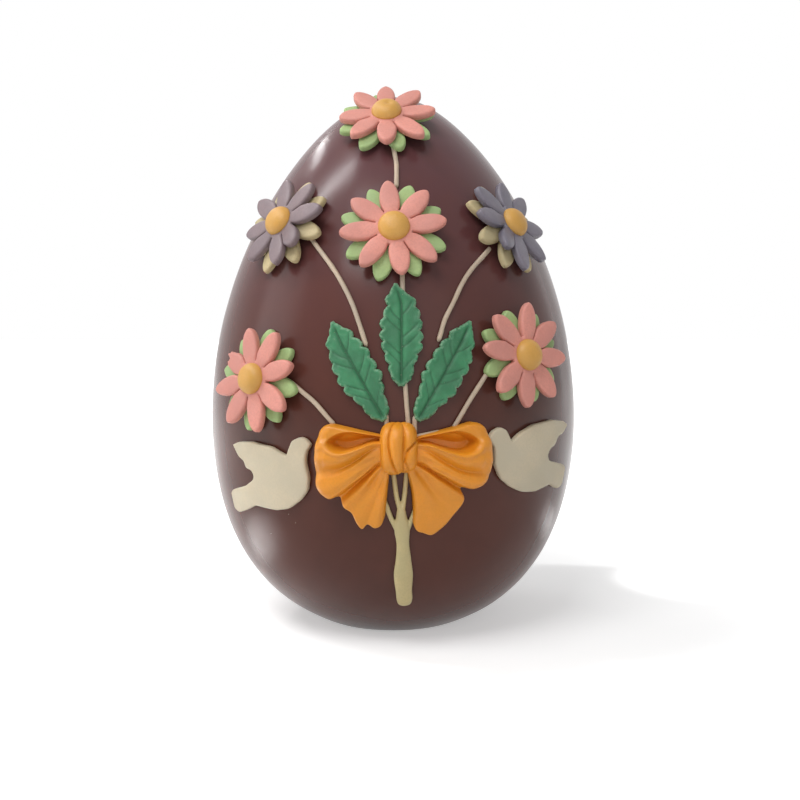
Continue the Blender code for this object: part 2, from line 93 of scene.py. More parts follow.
def egg_radius(z):
    t = 2 * (z + EGG_CUT) / (EGG_TOP + EGG_CUT) - 1
    return np.polyval(EGG_CUBIC, t) * np.sqrt(np.maximum(1 - t * t, 0))


def egg_slope(z):
    step = 0.01 * MM
    return (egg_radius(z + step) - egg_radius(z - step)) / (2 * step)


def on_egg(azimuth, z, height=0.0):
    """Points above the egg, for arrays or single numbers: azimuth 0 is the front."""
    azimuth, z, height = np.broadcast_arrays(
        np.asarray(azimuth, float), np.asarray(z, float), np.asarray(height, float))
    r, slope = egg_radius(z), egg_slope(z)
    out = np.stack([np.sin(azimuth), -np.cos(azimuth), -slope], -1)
    out /= np.linalg.norm(out, axis=-1, keepdims=True)
    base = np.stack([r * np.sin(azimuth), -r * np.cos(azimuth), z], -1)
    return base + out * height[..., None]


def under(point):
    """Azimuth and height on the egg straight below a point near it."""
    x, y, z = (float(c) for c in point)
    middle = z
    for _ in range(12):
        slope = float(egg_slope(z))
        excess = math.hypot(x, y) - float(egg_radius(z))
        z += 0.8 * (middle - z + slope * excess) / (1 + slope * slope)
        z = min(max(z, 1 * MM), EGG_TOP - 1 * MM)
    return math.atan2(x, -y), z


def wrap(at, x, y, height):
    """Lay a flat drawing on the egg: x to the right and y up from a middle point."""
    azimuth, z = at
    half_way = z + 0.5 * y / np.hypot(1, egg_slope(z))
    z = z + y / np.hypot(1, egg_slope(half_way))
    return on_egg(azimuth + x / egg_radius(z), z, height)


def unwrap(at, point):
    """Where a point near the egg lies in the flat drawing that wrap lays down."""
    azimuth, z = under(point)
    x, y = (azimuth - at[0]) * float(egg_radius(z)), z - at[1]
    for _ in range(6):
        half_way = at[1] + 0.5 * y / math.hypot(1, float(egg_slope(at[1])))
        y = (z - at[1]) * math.hypot(1, float(egg_slope(half_way)))
    return x, y


def box_middle(node):
    low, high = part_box(node)
    return [(a + b) / 2 for a, b in zip(low, high)]


def top_outline(node):
    """The edge of a slab's upper face, in order, as points."""
    bm = merged(node)
    bmesh.ops.recalc_face_normals(bm, faces=bm.faces)
    low = []
    for face in bm.faces:
        azimuth, z = under(face.calc_center_median())
        out = Vector(on_egg(azimuth, z, 1.0) - on_egg(azimuth, z))
        if face.normal.dot(out) < 0.7:
            low.append(face)
    bmesh.ops.delete(bm, geom=low, context="FACES")
    following = {}
    for edge in bm.edges:
        if len(edge.link_faces) == 1:
            loop = edge.link_loops[0]
            following[loop.vert] = loop.link_loop_next.vert
    start = next(iter(following))
    chain, here = [start.co.copy()], following[start]
    while here != start:
        chain.append(here.co.copy())
        here = following[here]
    bm.free()
    return chain


RING_WIDTH = 1.62 * MM      # points nearer than this are of one ring of a CAD tube
STUB_LENGTH = 2.6 * MM


def path_of(node):
    """The middle line of a CAD tube, from its rings of points."""
    low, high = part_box(node)
    if max(b - a for a, b in zip(low, high)) < STUB_LENGTH:
        # a stub, which runs straight up the egg
        middle = np.array(box_middle(node))
        return np.array([middle - (0, 0, 0.5 * MM), middle + (0, 0, 0.5 * MM)])
    left = list(points_of(node))
    middles = []
    while left:
        first = left[0]
        ring = [p for p in left if np.linalg.norm(p - first) < RING_WIDTH]
        left = [p for p in left if np.linalg.norm(p - first) >= RING_WIDTH]
        middles.append(np.mean(ring, axis=0))
    middles = np.array(middles)
    axis = np.linalg.svd(middles - middles.mean(0))[2][0]
    return middles[np.argsort(middles @ axis)]


# ---------------------------------------------------------------- shaping helpers

def smooth(x):
    x = np.clip(x, 0.0, 1.0)
    return x * x * (3 - 2 * x)


def bump(x, middle, half):
    """A smooth hill, 1 at its middle and 0 beyond its half width."""
    return smooth(1 - np.abs(x - middle) / half)


def curve_between(p1, p2, m1, m2, t):
    """A smooth curve from p1 to p2 that leaves along m1 and arrives along m2."""
    return p1 * (2 * t ** 3 - 3 * t ** 2 + 1) + m1 * (t ** 3 - 2 * t ** 2 + t) \
        + p2 * (3 * t ** 2 - 2 * t ** 3) + m2 * (t ** 3 - t ** 2)


def line_at(knots, v):
    """A smooth curve through (place, value) knots."""
    places = np.array([k[0] for k in knots])
    values = np.array([k[1] for k in knots])
    slopes = np.gradient(values, places)
    i = np.clip(np.searchsorted(places, v, side="right") - 1, 0, len(places) - 2)
    width = places[i + 1] - places[i]
    return curve_between(values[i], values[i + 1], width * slopes[i], width * slopes[i + 1],
                         (v - places[i]) / width)


def knots_at(knots, s):
    """Smooth change from one (place, value) knot to the next."""
    s = np.asarray(s, float)
    found = np.full(s.shape, float(knots[-1][1]))
    for (low, first), (high, second) in reversed(list(zip(knots, knots[1:]))):
        here = first + (second - first) * smooth((s - low) / (high - low))
        found = np.where(s <= high, here, found)
    return found


def sheet(x, y, third):
    """Points with flat coordinates and one third coordinate, to read lumps at."""
    return np.stack([x, y, np.full_like(x, third)], -1)


def lumps(points, scale, seed):
    """Soft unevenness between -1 and 1 at points, with hills about scale across."""
    shift = Vector((seed * 7.31, seed * 3.17, seed * 1.93))
    flat = np.asarray(points, float).reshape(-1, 3)
    found = [noise.noise(Vector(p) / scale + shift) for p in flat]
    return np.array(found).reshape(np.shape(points)[:-1])


def put(name, data):
    """An object with its own data, in the scene."""
    made = bpy.data.objects.new(name, data)
    bpy.context.scene.collection.objects.link(made)
    return made


def add_object(name, verts, faces, material, shares=None):
    """A smooth-shaded mesh; shares are named 0 to 1 values at its points."""
    data = bpy.data.meshes.new(name)
    data.from_pydata(np.asarray(verts, float).reshape(-1, 3).tolist(), [],
                     [tuple(int(i) for i in f) for f in faces])
    for title, values in (shares or {}).items():
        layer = data.attributes.new(title, "FLOAT", "POINT")
        layer.data.foreach_set("value", np.asarray(values, np.float32).ravel())
    bm = bmesh.new()
    bm.from_mesh(data)
    loose = [v for v in bm.verts if not v.link_faces]
    bmesh.ops.delete(bm, geom=loose, context="VERTS")
    bmesh.ops.recalc_face_normals(bm, faces=bm.faces)
    bm.to_mesh(data)
    bm.free()
    data.shade_smooth()
    data.materials.append(material)
    return put(name, data)


def finish_piece(piece, slot, *nodes):
    """Hang a piece on the root body and hide the CAD nodes it stands for; slot is not used."""
    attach(piece, "root")
    if nodes:
        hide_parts(*nodes)


def ring_faces(rows, count, first=0):
    """Quads between closed rings of points numbered row after row."""
    faces = []
    for i in range(rows - 1):
        for j in range(count):
            k = (j + 1) % count
            a, b = first + i * count, first + (i + 1) * count
            faces.append((a + j, a + k, b + k, b + j))
    return faces


def bar_faces(rows, count, first=0):
    """Quads between rings of points, and a face that closes each end."""
    faces = ring_faces(rows, count, first)
    faces.append(tuple(first + j for j in reversed(range(count))))
    faces.append(tuple(first + (rows - 1) * count + j for j in range(count)))
    return faces


CORNER = 35                 # an outline stays sharp where it turns by more degrees


def resample(points, spacing):
    """A closed outline with even points, rounded between its corners."""
    points = [Vector(p) for p in points]
    count = len(points)
    sharp = []
    for i, p in enumerate(points):
        before, after = p - points[i - 1], points[(i + 1) % count] - p
        sharp.append(math.degrees(before.angle(after, 0)) > CORNER)
    out = []
    for i in range(count):
        p0, p1, p2, p3 = (points[(i + k) % count] for k in (-1, 0, 1, 2))
        m1 = (p2 - p1) if sharp[i] else (p2 - p0) * 0.5
        m2 = (p2 - p1) if sharp[(i + 1) % count] else (p3 - p1) * 0.5
        steps = max(1, round((p2 - p1).length / spacing))
        out += [curve_between(p1, p2, m1, m2, k / steps) for k in range(steps)]
    return np.array(out)


def softened(outline, rounds):
    """A closed outline with its corners worn round."""
    for _ in range(rounds):
        outline = 0.5 * outline + 0.25 * (np.roll(outline, 1, 0) + np.roll(outline, -1, 0))
    return outline


def distance_to(points, outline):
    """Distance from each flat point to a closed outline."""
    a, b = outline, np.roll(outline, -1, 0)
    ab = b - a
    length = np.maximum((ab ** 2).sum(1), 1e-18)
    best = np.full(len(points), np.inf)
    for start in range(0, len(points), 400):
        p = points[start:start + 400, None, :]
        t = np.clip(((p - a) * ab).sum(-1) / length, 0, 1)
        gap = p - (a + t[..., None] * ab)
        best[start:start + 400] = np.sqrt((gap ** 2).sum(-1)).min(1)
    return best


def fill(outline, rims, cell):
    """Triangles inside an outline, with rows of points at set distances from its edge."""
    count = len(outline)
    before, after = np.roll(outline, 1, 0), np.roll(outline, -1, 0)
    along = after - before
    along /= np.maximum(np.linalg.norm(along, axis=1, keepdims=True), 1e-12)
    area = 0.5 * np.sum(outline[:, 0] * after[:, 1] - after[:, 0] * outline[:, 1])
    inward = np.stack([-along[:, 1], along[:, 0]], 1) * (1 if area > 0 else -1)
    rows = [outline]
    for rim in rims:
        moved = outline + inward * rim
        rows.append(moved[distance_to(moved, outline) > rim * 0.93])
    low, high = outline.min(0), outline.max(0)
    xs = np.arange(low[0], high[0] + cell, cell)
    ys = np.arange(low[1], high[1] + cell, cell * 0.87)
    grid = np.array([(x + (0.5 * cell if j % 2 else 0), y)
                     for j, y in enumerate(ys) for x in xs])
    rows.append(grid[distance_to(grid, outline) > max(rims) + 0.45 * cell])
    flat = np.concatenate(rows) / MM
    edges = [(i, (i + 1) % count) for i in range(count)]
    verts, _, faces, _, _, _ = delaunay_2d_cdt(
        [Vector(p) for p in flat], edges, [], 1, 1e-6)
    return np.array([tuple(v) for v in verts]) * MM, faces


def slab(name, outline, place, material, thickness, top_round=0.8, low_round=0.35,
         cell=1.1, shape=None, shares=None):
    """A cut-out of rolled paste: outline in metres, place(x, y, height) puts it in space."""
    top_round, low_round = top_round * MM, low_round * MM
    flat, faces = fill(outline, [f * top_round for f in (0.12, 0.32, 0.6, 1.0)], cell * MM)
    deep = distance_to(flat, outline)

    def rounded(radius):
        d = np.clip(deep, 0, radius)
        return radius - np.sqrt(np.maximum(radius ** 2 - (radius - d) ** 2, 0))

    top = thickness - rounded(top_round)
    bottom = rounded(low_round)
    if shape:
        top = np.maximum(top + shape(flat[:, 0], flat[:, 1], deep), bottom + 0.2 * MM)
    upper = place(flat[:, 0], flat[:, 1], top)
    lower = place(flat[:, 0], flat[:, 1], bottom)
    count = len(flat)
    all_faces = [tuple(f) for f in faces]
    all_faces += [tuple(i + count for i in reversed(f)) for f in faces]
    borders = {(a, b) for face in faces for a, b in zip(face, list(face[1:]) + [face[0]])}
    for a, b in borders:
        if (b, a) not in borders:
            all_faces.append((b, a, a + count, b + count))
    values = {}
    for title, found in (shares(flat[:, 0], flat[:, 1], deep) if shares else {}).items():
        values[title] = np.concatenate([found, found])
    return add_object(name, np.concatenate([upper, lower]), all_faces, material, values)


def along_path(points, spacing):
    """A smooth line through points, with even steps."""
    points = [Vector(p) for p in points]
    out = []
    for i in range(len(points) - 1):
        p1, p2 = points[i], points[i + 1]
        p0 = points[i - 1] if i else p1 * 2 - p2
        p3 = points[i + 2] if i + 2 < len(points) else p2 * 2 - p1
        m1, m2 = (p2 - p0) * 0.5, (p3 - p1) * 0.5
        steps = max(2, round((p2 - p1).length / spacing))
        last = i == len(points) - 2
        out += [curve_between(p1, p2, m1, m2, k / steps) for k in range(steps + last)]
    return np.array(out)


# ---------------------------------------------------------------- materials

def new_material(name):
    made = bpy.data.materials.new(name)
    made.use_nodes = True
    return made, made.node_tree, made.node_tree.nodes["Principled BSDF"]


def noise_at(tree, scale, detail=3.0):
    """Soft noise with a number of hills for each metre."""
    coords = tree.nodes.new("ShaderNodeTexCoord")
    found = tree.nodes.new("ShaderNodeTexNoise")
    found.inputs["Scale"].default_value = scale
    found.inputs["Detail"].default_value = detail
    tree.links.new(coords.outputs["Object"], found.inputs["Vector"])
    return found.outputs["Fac"]


def ranged(tree, value, low, high, out_low=0.0, out_high=1.0):
    """A value stretched smoothly from one range to another."""
    found = tree.nodes.new("ShaderNodeMapRange")
    found.interpolation_type = "SMOOTHSTEP"
    for title, number in (("From Min", low), ("From Max", high),
                          ("To Min", out_low), ("To Max", out_high)):
        found.inputs[title].default_value = number
    tree.links.new(value, found.inputs["Value"])
    return found.outputs["Result"]


def mixed(tree, share, first, second):
    """Between two colours, each a colour or a socket, by a share socket."""
    found = tree.nodes.new("ShaderNodeMix")
    found.data_type = "RGBA"
    tree.links.new(share, found.inputs["Factor"])
    for title, colour in (("A", first), ("B", second)):
        socket = [s for s in found.inputs if s.name == title and s.type == "RGBA"][0]
        if isinstance(colour, tuple):
            socket.default_value = (*colour, 1.0)
        else:
            tree.links.new(colour, socket)
    return [s for s in found.outputs if s.type == "RGBA"][0]


def combined(tree, operation, first, second):
    """One number from two sockets."""
    found = tree.nodes.new("ShaderNodeMath")
    found.operation = operation
    tree.links.new(first, found.inputs[0])
    tree.links.new(second, found.inputs[1])
    return found.outputs["Value"]


def attribute(tree, title):
    found = tree.nodes.new("ShaderNodeAttribute")
    found.attribute_name = title
    return found.outputs["Fac"]


def bumped(tree, shader, layers):
    """Fine relief: layers of hills for each metre and their height in mm."""
    normal = None
    for scale, height in layers:
        found = tree.nodes.new("ShaderNodeBump")
        found.inputs["Distance"].default_value = height * MM
        found.inputs["Strength"].default_value = 1.0
        tree.links.new(noise_at(tree, scale, 4.0), found.inputs["Height"])
        if normal:
            tree.links.new(normal, found.inputs["Normal"])
        normal = found.outputs["Normal"]
    tree.links.new(normal, shader.inputs["Normal"])


def scaled(colour, factor):
    return tuple(min(c * factor, 1.0) for c in colour)


WARMTH = (1.03, 1.0, 0.97)  # what the lighter stretches of sugar paste are tinted by


def paste(name, colour, roughness=0.6, vary=0.08, grain=0.02):
    """Rolled sugar paste: soft colour change, a powdery grain and uneven gloss."""
    made, tree, shader = new_material(name)
    warmer = tuple(c * w for c, w in zip(colour, WARMTH))
    broad = mixed(tree, ranged(tree, noise_at(tree, 60), 0.35, 0.65),
                  scaled(colour, 1 - vary), scaled(warmer, 1 + vary))
    fine = mixed(tree, ranged(tree, noise_at(tree, 1400, 5), 0.42, 0.62, 0.0, 0.35),
                 broad, scaled(colour, 1 - 2 * vary))
    tree.links.new(fine, shader.inputs["Base Color"])
    tree.links.new(ranged(tree, noise_at(tree, 220), 0.3, 0.7,
                          roughness - 0.07, roughness + 0.08), shader.inputs["Roughness"])
    bumped(tree, shader, ((450, 0.06), (2600, grain)))
    shader.inputs["Subsurface Weight"].default_value = 0.12
    shader.inputs["Subsurface Scale"].default_value = 1.5 * MM
    shader.inputs["Subsurface Radius"].default_value = (1.0, 0.6, 0.4)
    return made


def chocolate(name, dark, light, high):
    """Moulded chocolate: satin, with broad soft changes in colour, and a painted sheen that turns
    it lighter and more violet up the egg.
    """
    made, tree, shader = new_material(name)
    broad = mixed(tree, ranged(tree, noise_at(tree, 18, 2), 0.25, 0.75), dark, light)
    coords = tree.nodes.new("ShaderNodeTexCoord")
    apart = tree.nodes.new("ShaderNodeSeparateXYZ")
    tree.links.new(coords.outputs["Object"], apart.inputs["Vector"])
    # painted highlight: from 70 mm up, the colour blends to a lighter violet one that stands in for
    # a soft light above
    top_sheen_painted = mixed(tree, ranged(tree, apart.outputs["Z"], 70 * MM, 200 * MM), broad, high)
    fine = mixed(tree, ranged(tree, noise_at(tree, 90, 3), 0.2, 0.9, 0.0, 0.35),
                 top_sheen_painted, scaled(light, 1.25))
    tree.links.new(fine, shader.inputs["Base Color"])
    tree.links.new(ranged(tree, noise_at(tree, 40, 3), 0.2, 0.8, 0.20, 0.265),
                   shader.inputs["Roughness"])
    bumped(tree, shader, ((70, 0.05), (1200, 0.0015)))
    shader.inputs["Specular IOR Level"].default_value = 0.20
    return made


def leaf_paste(name, green, groove_shade, edge):
    """Green paste, with painted shade that darkens the pressed veins, and pale and crusty at the
    frilled edge.
    """
    made, tree, shader = new_material(name)
    broad = mixed(tree, ranged(tree, noise_at(tree, 130), 0.35, 0.65),
                  scaled(green, 0.85), scaled(green, 1.18))
    # painted shade: the grooves of the veins take the darker groove colour
    vein_shaded = mixed(tree, ranged(tree, attribute(tree, "vein"), 0.1, 0.9), broad, groove_shade)
    crust = combined(tree, "MULTIPLY", attribute(tree, "rim"),
                     ranged(tree, noise_at(tree, 900, 5), 0.36, 0.58))
    edged = mixed(tree, crust, vein_shaded, edge)
    tree.links.new(edged, shader.inputs["Base Color"])
    tree.links.new(ranged(tree, noise_at(tree, 300), 0.3, 0.7, 0.5, 0.68),
                   shader.inputs["Roughness"])
    bumped(tree, shader, ((700, 0.12), (3000, 0.03)))
    shader.inputs["Subsurface Weight"].default_value = 0.08
    shader.inputs["Subsurface Scale"].default_value = 1.0 * MM
    return made


# the third colour is painted sheen: the lighter violet tone towards the top of the egg
CHOCOLATE = chocolate("chocolate", (0.066, 0.022, 0.015), (0.088, 0.028, 0.019),
                      (0.100, 0.040, 0.046))
PINK = paste("pink_paste", (0.60, 0.25, 0.205))
GREEN = paste("pale_green_paste", (0.32, 0.45, 0.19))
YELLOW = paste("yellow_paste", (0.56, 0.30, 0.062), roughness=0.48, vary=0.05)
MAUVE_LEFT = paste("mauve_paste", (0.195, 0.145, 0.157), roughness=0.5)
MAUVE_RIGHT = paste("mauve_paste_dark", (0.155, 0.140, 0.175), roughness=0.42)
CREAM = paste("cream_paste", (0.47, 0.39, 0.22))
WHITE = paste("white_paste", (0.53, 0.465, 0.34), vary=0.04)
ORANGE = paste("orange_paste", (0.66, 0.245, 0.010), roughness=0.45, vary=0.05,
               grain=0.006)
# the second colour is painted shade for the pressed veins
LEAF = leaf_paste("leaf_paste", (0.029, 0.165, 0.070), (0.016, 0.095, 0.038),
                  (0.19, 0.36, 0.22))
STEM = paste("stem_paste", (0.46, 0.37, 0.28), roughness=0.55)
STALK = paste("stalk_paste", (0.50, 0.42, 0.21), roughness=0.55)
CRUMB = paste("crumb", (0.55, 0.42, 0.32), roughness=0.7)


# ---------------------------------------------------------------- the egg

UNEVENNESS = 0.30 * MM      # how deep the moulded surface dips


def build_egg():
    """The moulded egg: very slightly uneven, flat underneath."""
    rings, steps = 190, 288
    foot = math.acos(2 * EGG_CUT / (EGG_TOP + EGG_CUT) - 1)
    t = np.cos(foot * np.arange(1, rings + 1) / rings)
    z = np.maximum((t + 1) / 2 * (EGG_TOP + EGG_CUT) - EGG_CUT, 0)
    azimuth = 2 * np.pi * np.arange(steps) / steps
    places = on_egg(azimuth[None, :], z[:, None])
    uneven = 0.5 + 0.5 * lumps(places, 28 * MM, 1) + 0.12 * lumps(places, 9 * MM, 2)
    ease = smooth(z / (4 * MM))[:, None] * smooth((EGG_TOP - z) / (6 * MM))[:, None]
    places = on_egg(azimuth[None, :], z[:, None], -UNEVENNESS * uneven * ease)
    verts = np.concatenate([places.reshape(-1, 3), [(0, 0, EGG_TOP), (0, 0, 0)]])
    faces = ring_faces(rings, steps)
    last = (rings - 1) * steps
    for j in range(steps):
        k = (j + 1) % steps
        faces.append((rings * steps, k, j))
        faces.append((rings * steps + 1, last + j, last + k))
    finish_piece(add_object("egg_body", verts, faces, CHOCOLATE), "chocolate", "egg")


# ---------------------------------------------------------------- flowers

def flower_axes(flower):
    """Middle, right, up and outward directions of a flower, read from its button."""
    found = points_of(flower + "_button")
    middle = found.mean(0)
    out = np.linalg.svd(found - middle)[2][2]
    if out @ (middle - (0, 0, EGG_TOP / 2)) < 0:
        out = -out
    right = np.cross((0, 0, 1), out)
    right /= np.linalg.norm(right)
    return middle, right, np.cross(out, right), out


def petal_tips(node, axes):
    """Direction, clockwise from the top, and reach of each petal of a daisy node."""
    middle, right, up, _ = axes
    found = points_of(node) - middle
    x, y = found @ right, found @ up
    reach, ahead = np.hypot(x, y), np.arctan2(x, y)
    tips = []
    for i in np.argsort(-reach):
        clear = [abs((ahead[i] - a + math.pi) % (2 * math.pi) - math.pi) > math.radians(20)
                 for a, _ in tips]
        if all(clear):
            tips.append((ahead[i], reach[i]))
    return sorted(tips[:PETALS])


def petal_width(s):
    """Half width of a petal as a share of the widest: s runs from the middle to the tip."""
    out = (1 - np.clip((s - 0.56) / 0.44, 0, 1) ** 2.4) ** 0.6
    return np.where(s > 0.56, out, 1 - 0.35 * ((0.56 - s) / 0.25) ** 2)


PETAL_HALF = 3.42           # mm
SLIT_START = 6.0            # mm from the middle
# share of the petal's reach and of its half width, across the torn end
TORN_TIP = ((0.80, -0.84), (0.90, -0.52), (0.86, -0.34), (0.87, -0.10), (0.95, 0.02),
            (1.0, 0.16), (0.95, 0.34), (0.94, 0.56), (0.86, 0.66), (0.78, 0.88))


def daisy_outline(tips, torn, rng):
    """Petals with thin slits between them, clockwise from the top."""
    points = []
    half_width = PETAL_HALF * MM
    for i, (ahead, reach) in enumerate(tips):
        axis = np.array((math.sin(ahead), math.cos(ahead)))
        side = np.array((axis[1], -axis[0]))
        following = ((tips[(i + 1) % PETALS][0] - ahead) % (2 * math.pi)) / 2
        before = ((ahead - tips[i - 1][0]) % (2 * math.pi)) / 2
        start = SLIT_START * MM / reach
        rising = np.concatenate([np.linspace(start, 0.56, 12)[:-1],
                                 0.56 + 0.44 * np.sin(np.linspace(0, math.pi / 2, 22))])
        widths = petal_width(rising) * half_width * rng.uniform(0.96, 1.03)
        lean = rng.uniform(-0.35, 0.35) * MM
        left, right = [], []
        for s, w in zip(rising, widths):
            drift = lean * smooth((s - 0.5) / 0.5)
            room = s * reach * math.tan(before - math.radians(0.7))
            left.append(axis * s * reach + side * (drift - min(w, room)))
            room = s * reach * math.tan(following - math.radians(0.7))
            right.append(axis * s * reach + side * (drift + min(w, room)))
        if i == torn:
            keep = rising < 0.78
            left = [p for p, k in zip(left, keep) if k]
            right = [p for p, k in zip(right, keep) if k]
            ragged = []
            for (s0, w0), (s1, w1) in zip(TORN_TIP, TORN_TIP[1:]):
                for k in range(4):
                    s, w = s0 + (s1 - s0) * k / 4, w0 + (w1 - w0) * k / 4
                    s += rng.uniform(-0.012, 0.012)
                    ragged.append(axis * s * reach + side * w * half_width)
            points += left + ragged + right[::-1]
        else:
            points += left + right[::-1][1:]
    return np.array(points)


def build_daisy(name, node, axes, tips, material, rng, torn=None, droop=0.0, tipped=None,
                sunk=0.0):
    """One cut-out of eight petals: flat, with softly rounded edges and uneven lift."""
    middle, right, up, out = axes
    height = (points_of(node) - middle) @ out
    base, thickness = height.min() - sunk * MM, height.max() - height.min()
    lifts = [(rng.uniform(-0.45, 0.25) - sunk) * MM for _ in tips]
    twists = [rng.uniform(-0.05, 0.05) for _ in tips]
    if tipped is not None:
        lifts[tipped] = 1.3 * MM

    def place(x, y, h):
        ahead, r = np.arctan2(x, y), np.hypot(x, y)
        bend = np.zeros_like(x)
        for (a, reach), lift, twist in zip(tips, lifts, twists):
            away = (ahead - a + np.pi) % (2 * np.pi) - np.pi
            share = bump(away, 0, math.radians(26)) * smooth((r / reach - 0.32) / 0.68)
            bend += share * (lift - droop * MM + twist * r * away)
        return middle + np.outer(x, right) + np.outer(y, up) + np.outer(base + h + bend, out)

    def shape(x, y, deep):
        crown = 0.16 * MM * smooth(deep / (3 * MM))
        soft = 0.07 * MM * lumps(sheet(x, y, base), 4 * MM, len(name))
        return crown + soft - 0.08 * MM

    outline = daisy_outline(tips, torn, rng)
    return slab(name, outline, place, material, thickness, 0.85, 0.4, 1.0, shape)


def build_button(name, node, axes, rng, dent=0.0, dimple=False):
    """A ball of yellow paste pressed into a smooth dome."""
    middle, right, up, out = axes
    found = points_of(node) - middle
    base, top = (found @ out).min() - 0.35 * MM, (found @ out).max()
    radius = np.hypot(found @ right, found @ up).max()
    rings, steps = 30, 72
    share = np.sin(np.linspace(0, math.pi / 2, rings + 1))[1:]
    turn = 2 * np.pi * np.arange(steps) / steps
    x = radius * share[:, None] * np.sin(turn)
    y = radius * share[:, None] * np.cos(turn)
    h = (1 - share[:, None] ** 2.5) ** 0.55 * np.ones_like(turn)
    h = h * (1 + 0.04 * np.sin(turn + rng.uniform(0, 6))[None, :] * share[:, None])
    if dent:
        h -= dent * np.exp(-((x / radius - 0.15) ** 2 + (y / radius - 0.1) ** 2) / 0.06)
    if dimple:
        h += 0.05 * np.exp(-((x / radius - 0.12) ** 2 + (y / radius - 0.45) ** 2) / 0.004)
    height = base + (top - base) * h
    apex = base + (top - base) * (1 - dent * 0.6)
    rows = middle + x[..., None] * right + y[..., None] * up + height[..., None] * out
    rows += (0.05 * MM * lumps(rows, 3 * MM, len(name)))[..., None] * out
    foot = middle + (base - 0.3 * MM) * out
    low = foot + (x[-1] * 0.9)[:, None] * right + (y[-1] * 0.9)[:, None] * up
    verts = np.concatenate([rows.reshape(-1, 3), low, [middle + apex * out, foot]])
    faces = ring_faces(rings + 1, steps)
    end = (rings + 1) * steps
    for j in range(steps):
        k = (j + 1) % steps
        faces.append((end, j, k))
        faces.append((end + 1, rings * steps + k, rings * steps + j))
    finish_piece(add_object(name + "_dome", verts, faces, YELLOW), "yellow", node)


def build_flower(flower, number):
    """Two cut-outs and a button, each a piece of its own."""
    rng = random.Random(40 + number)
    axes = flower_axes(flower)
    mauve = "mauve" in flower
    upper, lower = flower + "_petals", flower + "_under"
    tips = petal_tips(upper, axes)
    shortest = min(range(PETALS), key=lambda i: tips[i][1])
    torn = shortest if flower == "flower_left" else None
    tipped = shortest if mauve else None
    sunk = 0.1 if flower == "flower_top" else 0.0
    top_paste = PINK
    if mauve:
        top_paste = MAUVE_LEFT if "left" in flower else MAUVE_RIGHT
    piece = build_daisy(flower + "_lower_cutout", lower, axes, petal_tips(lower, axes),
                        CREAM if mauve else GREEN, rng, droop=0.5, sunk=sunk)
    finish_piece(piece, "cream" if mauve else "green", lower)
    piece = build_daisy(flower + "_upper_cutout", upper, axes, tips, top_paste, rng,
                        torn=torn, tipped=tipped, sunk=sunk)
    finish_piece(piece, "mauve" if mauve else "pink", upper)
    build_button(flower, flower + "_button", axes, rng,
                 dent=0.16 if flower == "flower_top" else 0.0,
                 dimple=flower in ("flower_centre", "flower_right"))


# ---------------------------------------------------------------- leaves and doves

# how far each leaf's tip hooks sideways, in mm
LEAVES = {"leaf_centre": -1.9, "leaf_left": 0.6, "leaf_right": -0.5}
LEAF_SHAPE = ((0, 0.18), (0.10, 0.55), (0.42, 1.0), (0.60, 1.0), (0.80, 0.72), (1, 0.07))
LEAF_SCALLOPS = 9
LEAF_THICK = 1.9 * MM
DOVE_THICK = 2.3 * MM
SIDE_VEINS = (0.17, 0.33, 0.49, 0.65)


def leaf_axes(node, hook):
    """Where a leaf lies on the egg: middle, turn, length and half width."""
    at = under(box_middle(node))
    flat = np.array([unwrap(at, p) for p in points_of(node)])
    axis = np.linalg.svd(flat - flat.mean(0))[2][0]
    axis = axis if axis[1] > 0 else -axis
    along = flat @ axis
    base = flat[along < along.min() + 0.5 * MM].mean(0)
    tip = flat[along > along.max() - 0.5 * MM].mean(0)
    run = tip - base
    length = np.linalg.norm(run)
    turn = math.atan2(-run[0], run[1]) + math.asin(hook * MM / length)
    side = np.array((math.cos(turn), math.sin(turn)))
    ahead = np.array((-math.sin(turn), math.cos(turn)))
    middle = base + ahead * length / 2
    half = np.abs((flat - base) @ side).max()
    return at, middle, turn, length, half


def leaf_point(leaf, x, y):
    """A point of a leaf's own drawing in the drawing that wrap lays on the egg."""
    _, middle, turn, _, _ = leaf
    return (middle[0] + x * math.cos(turn) - y * math.sin(turn),
            middle[1] + x * math.sin(turn) + y * math.cos(turn))


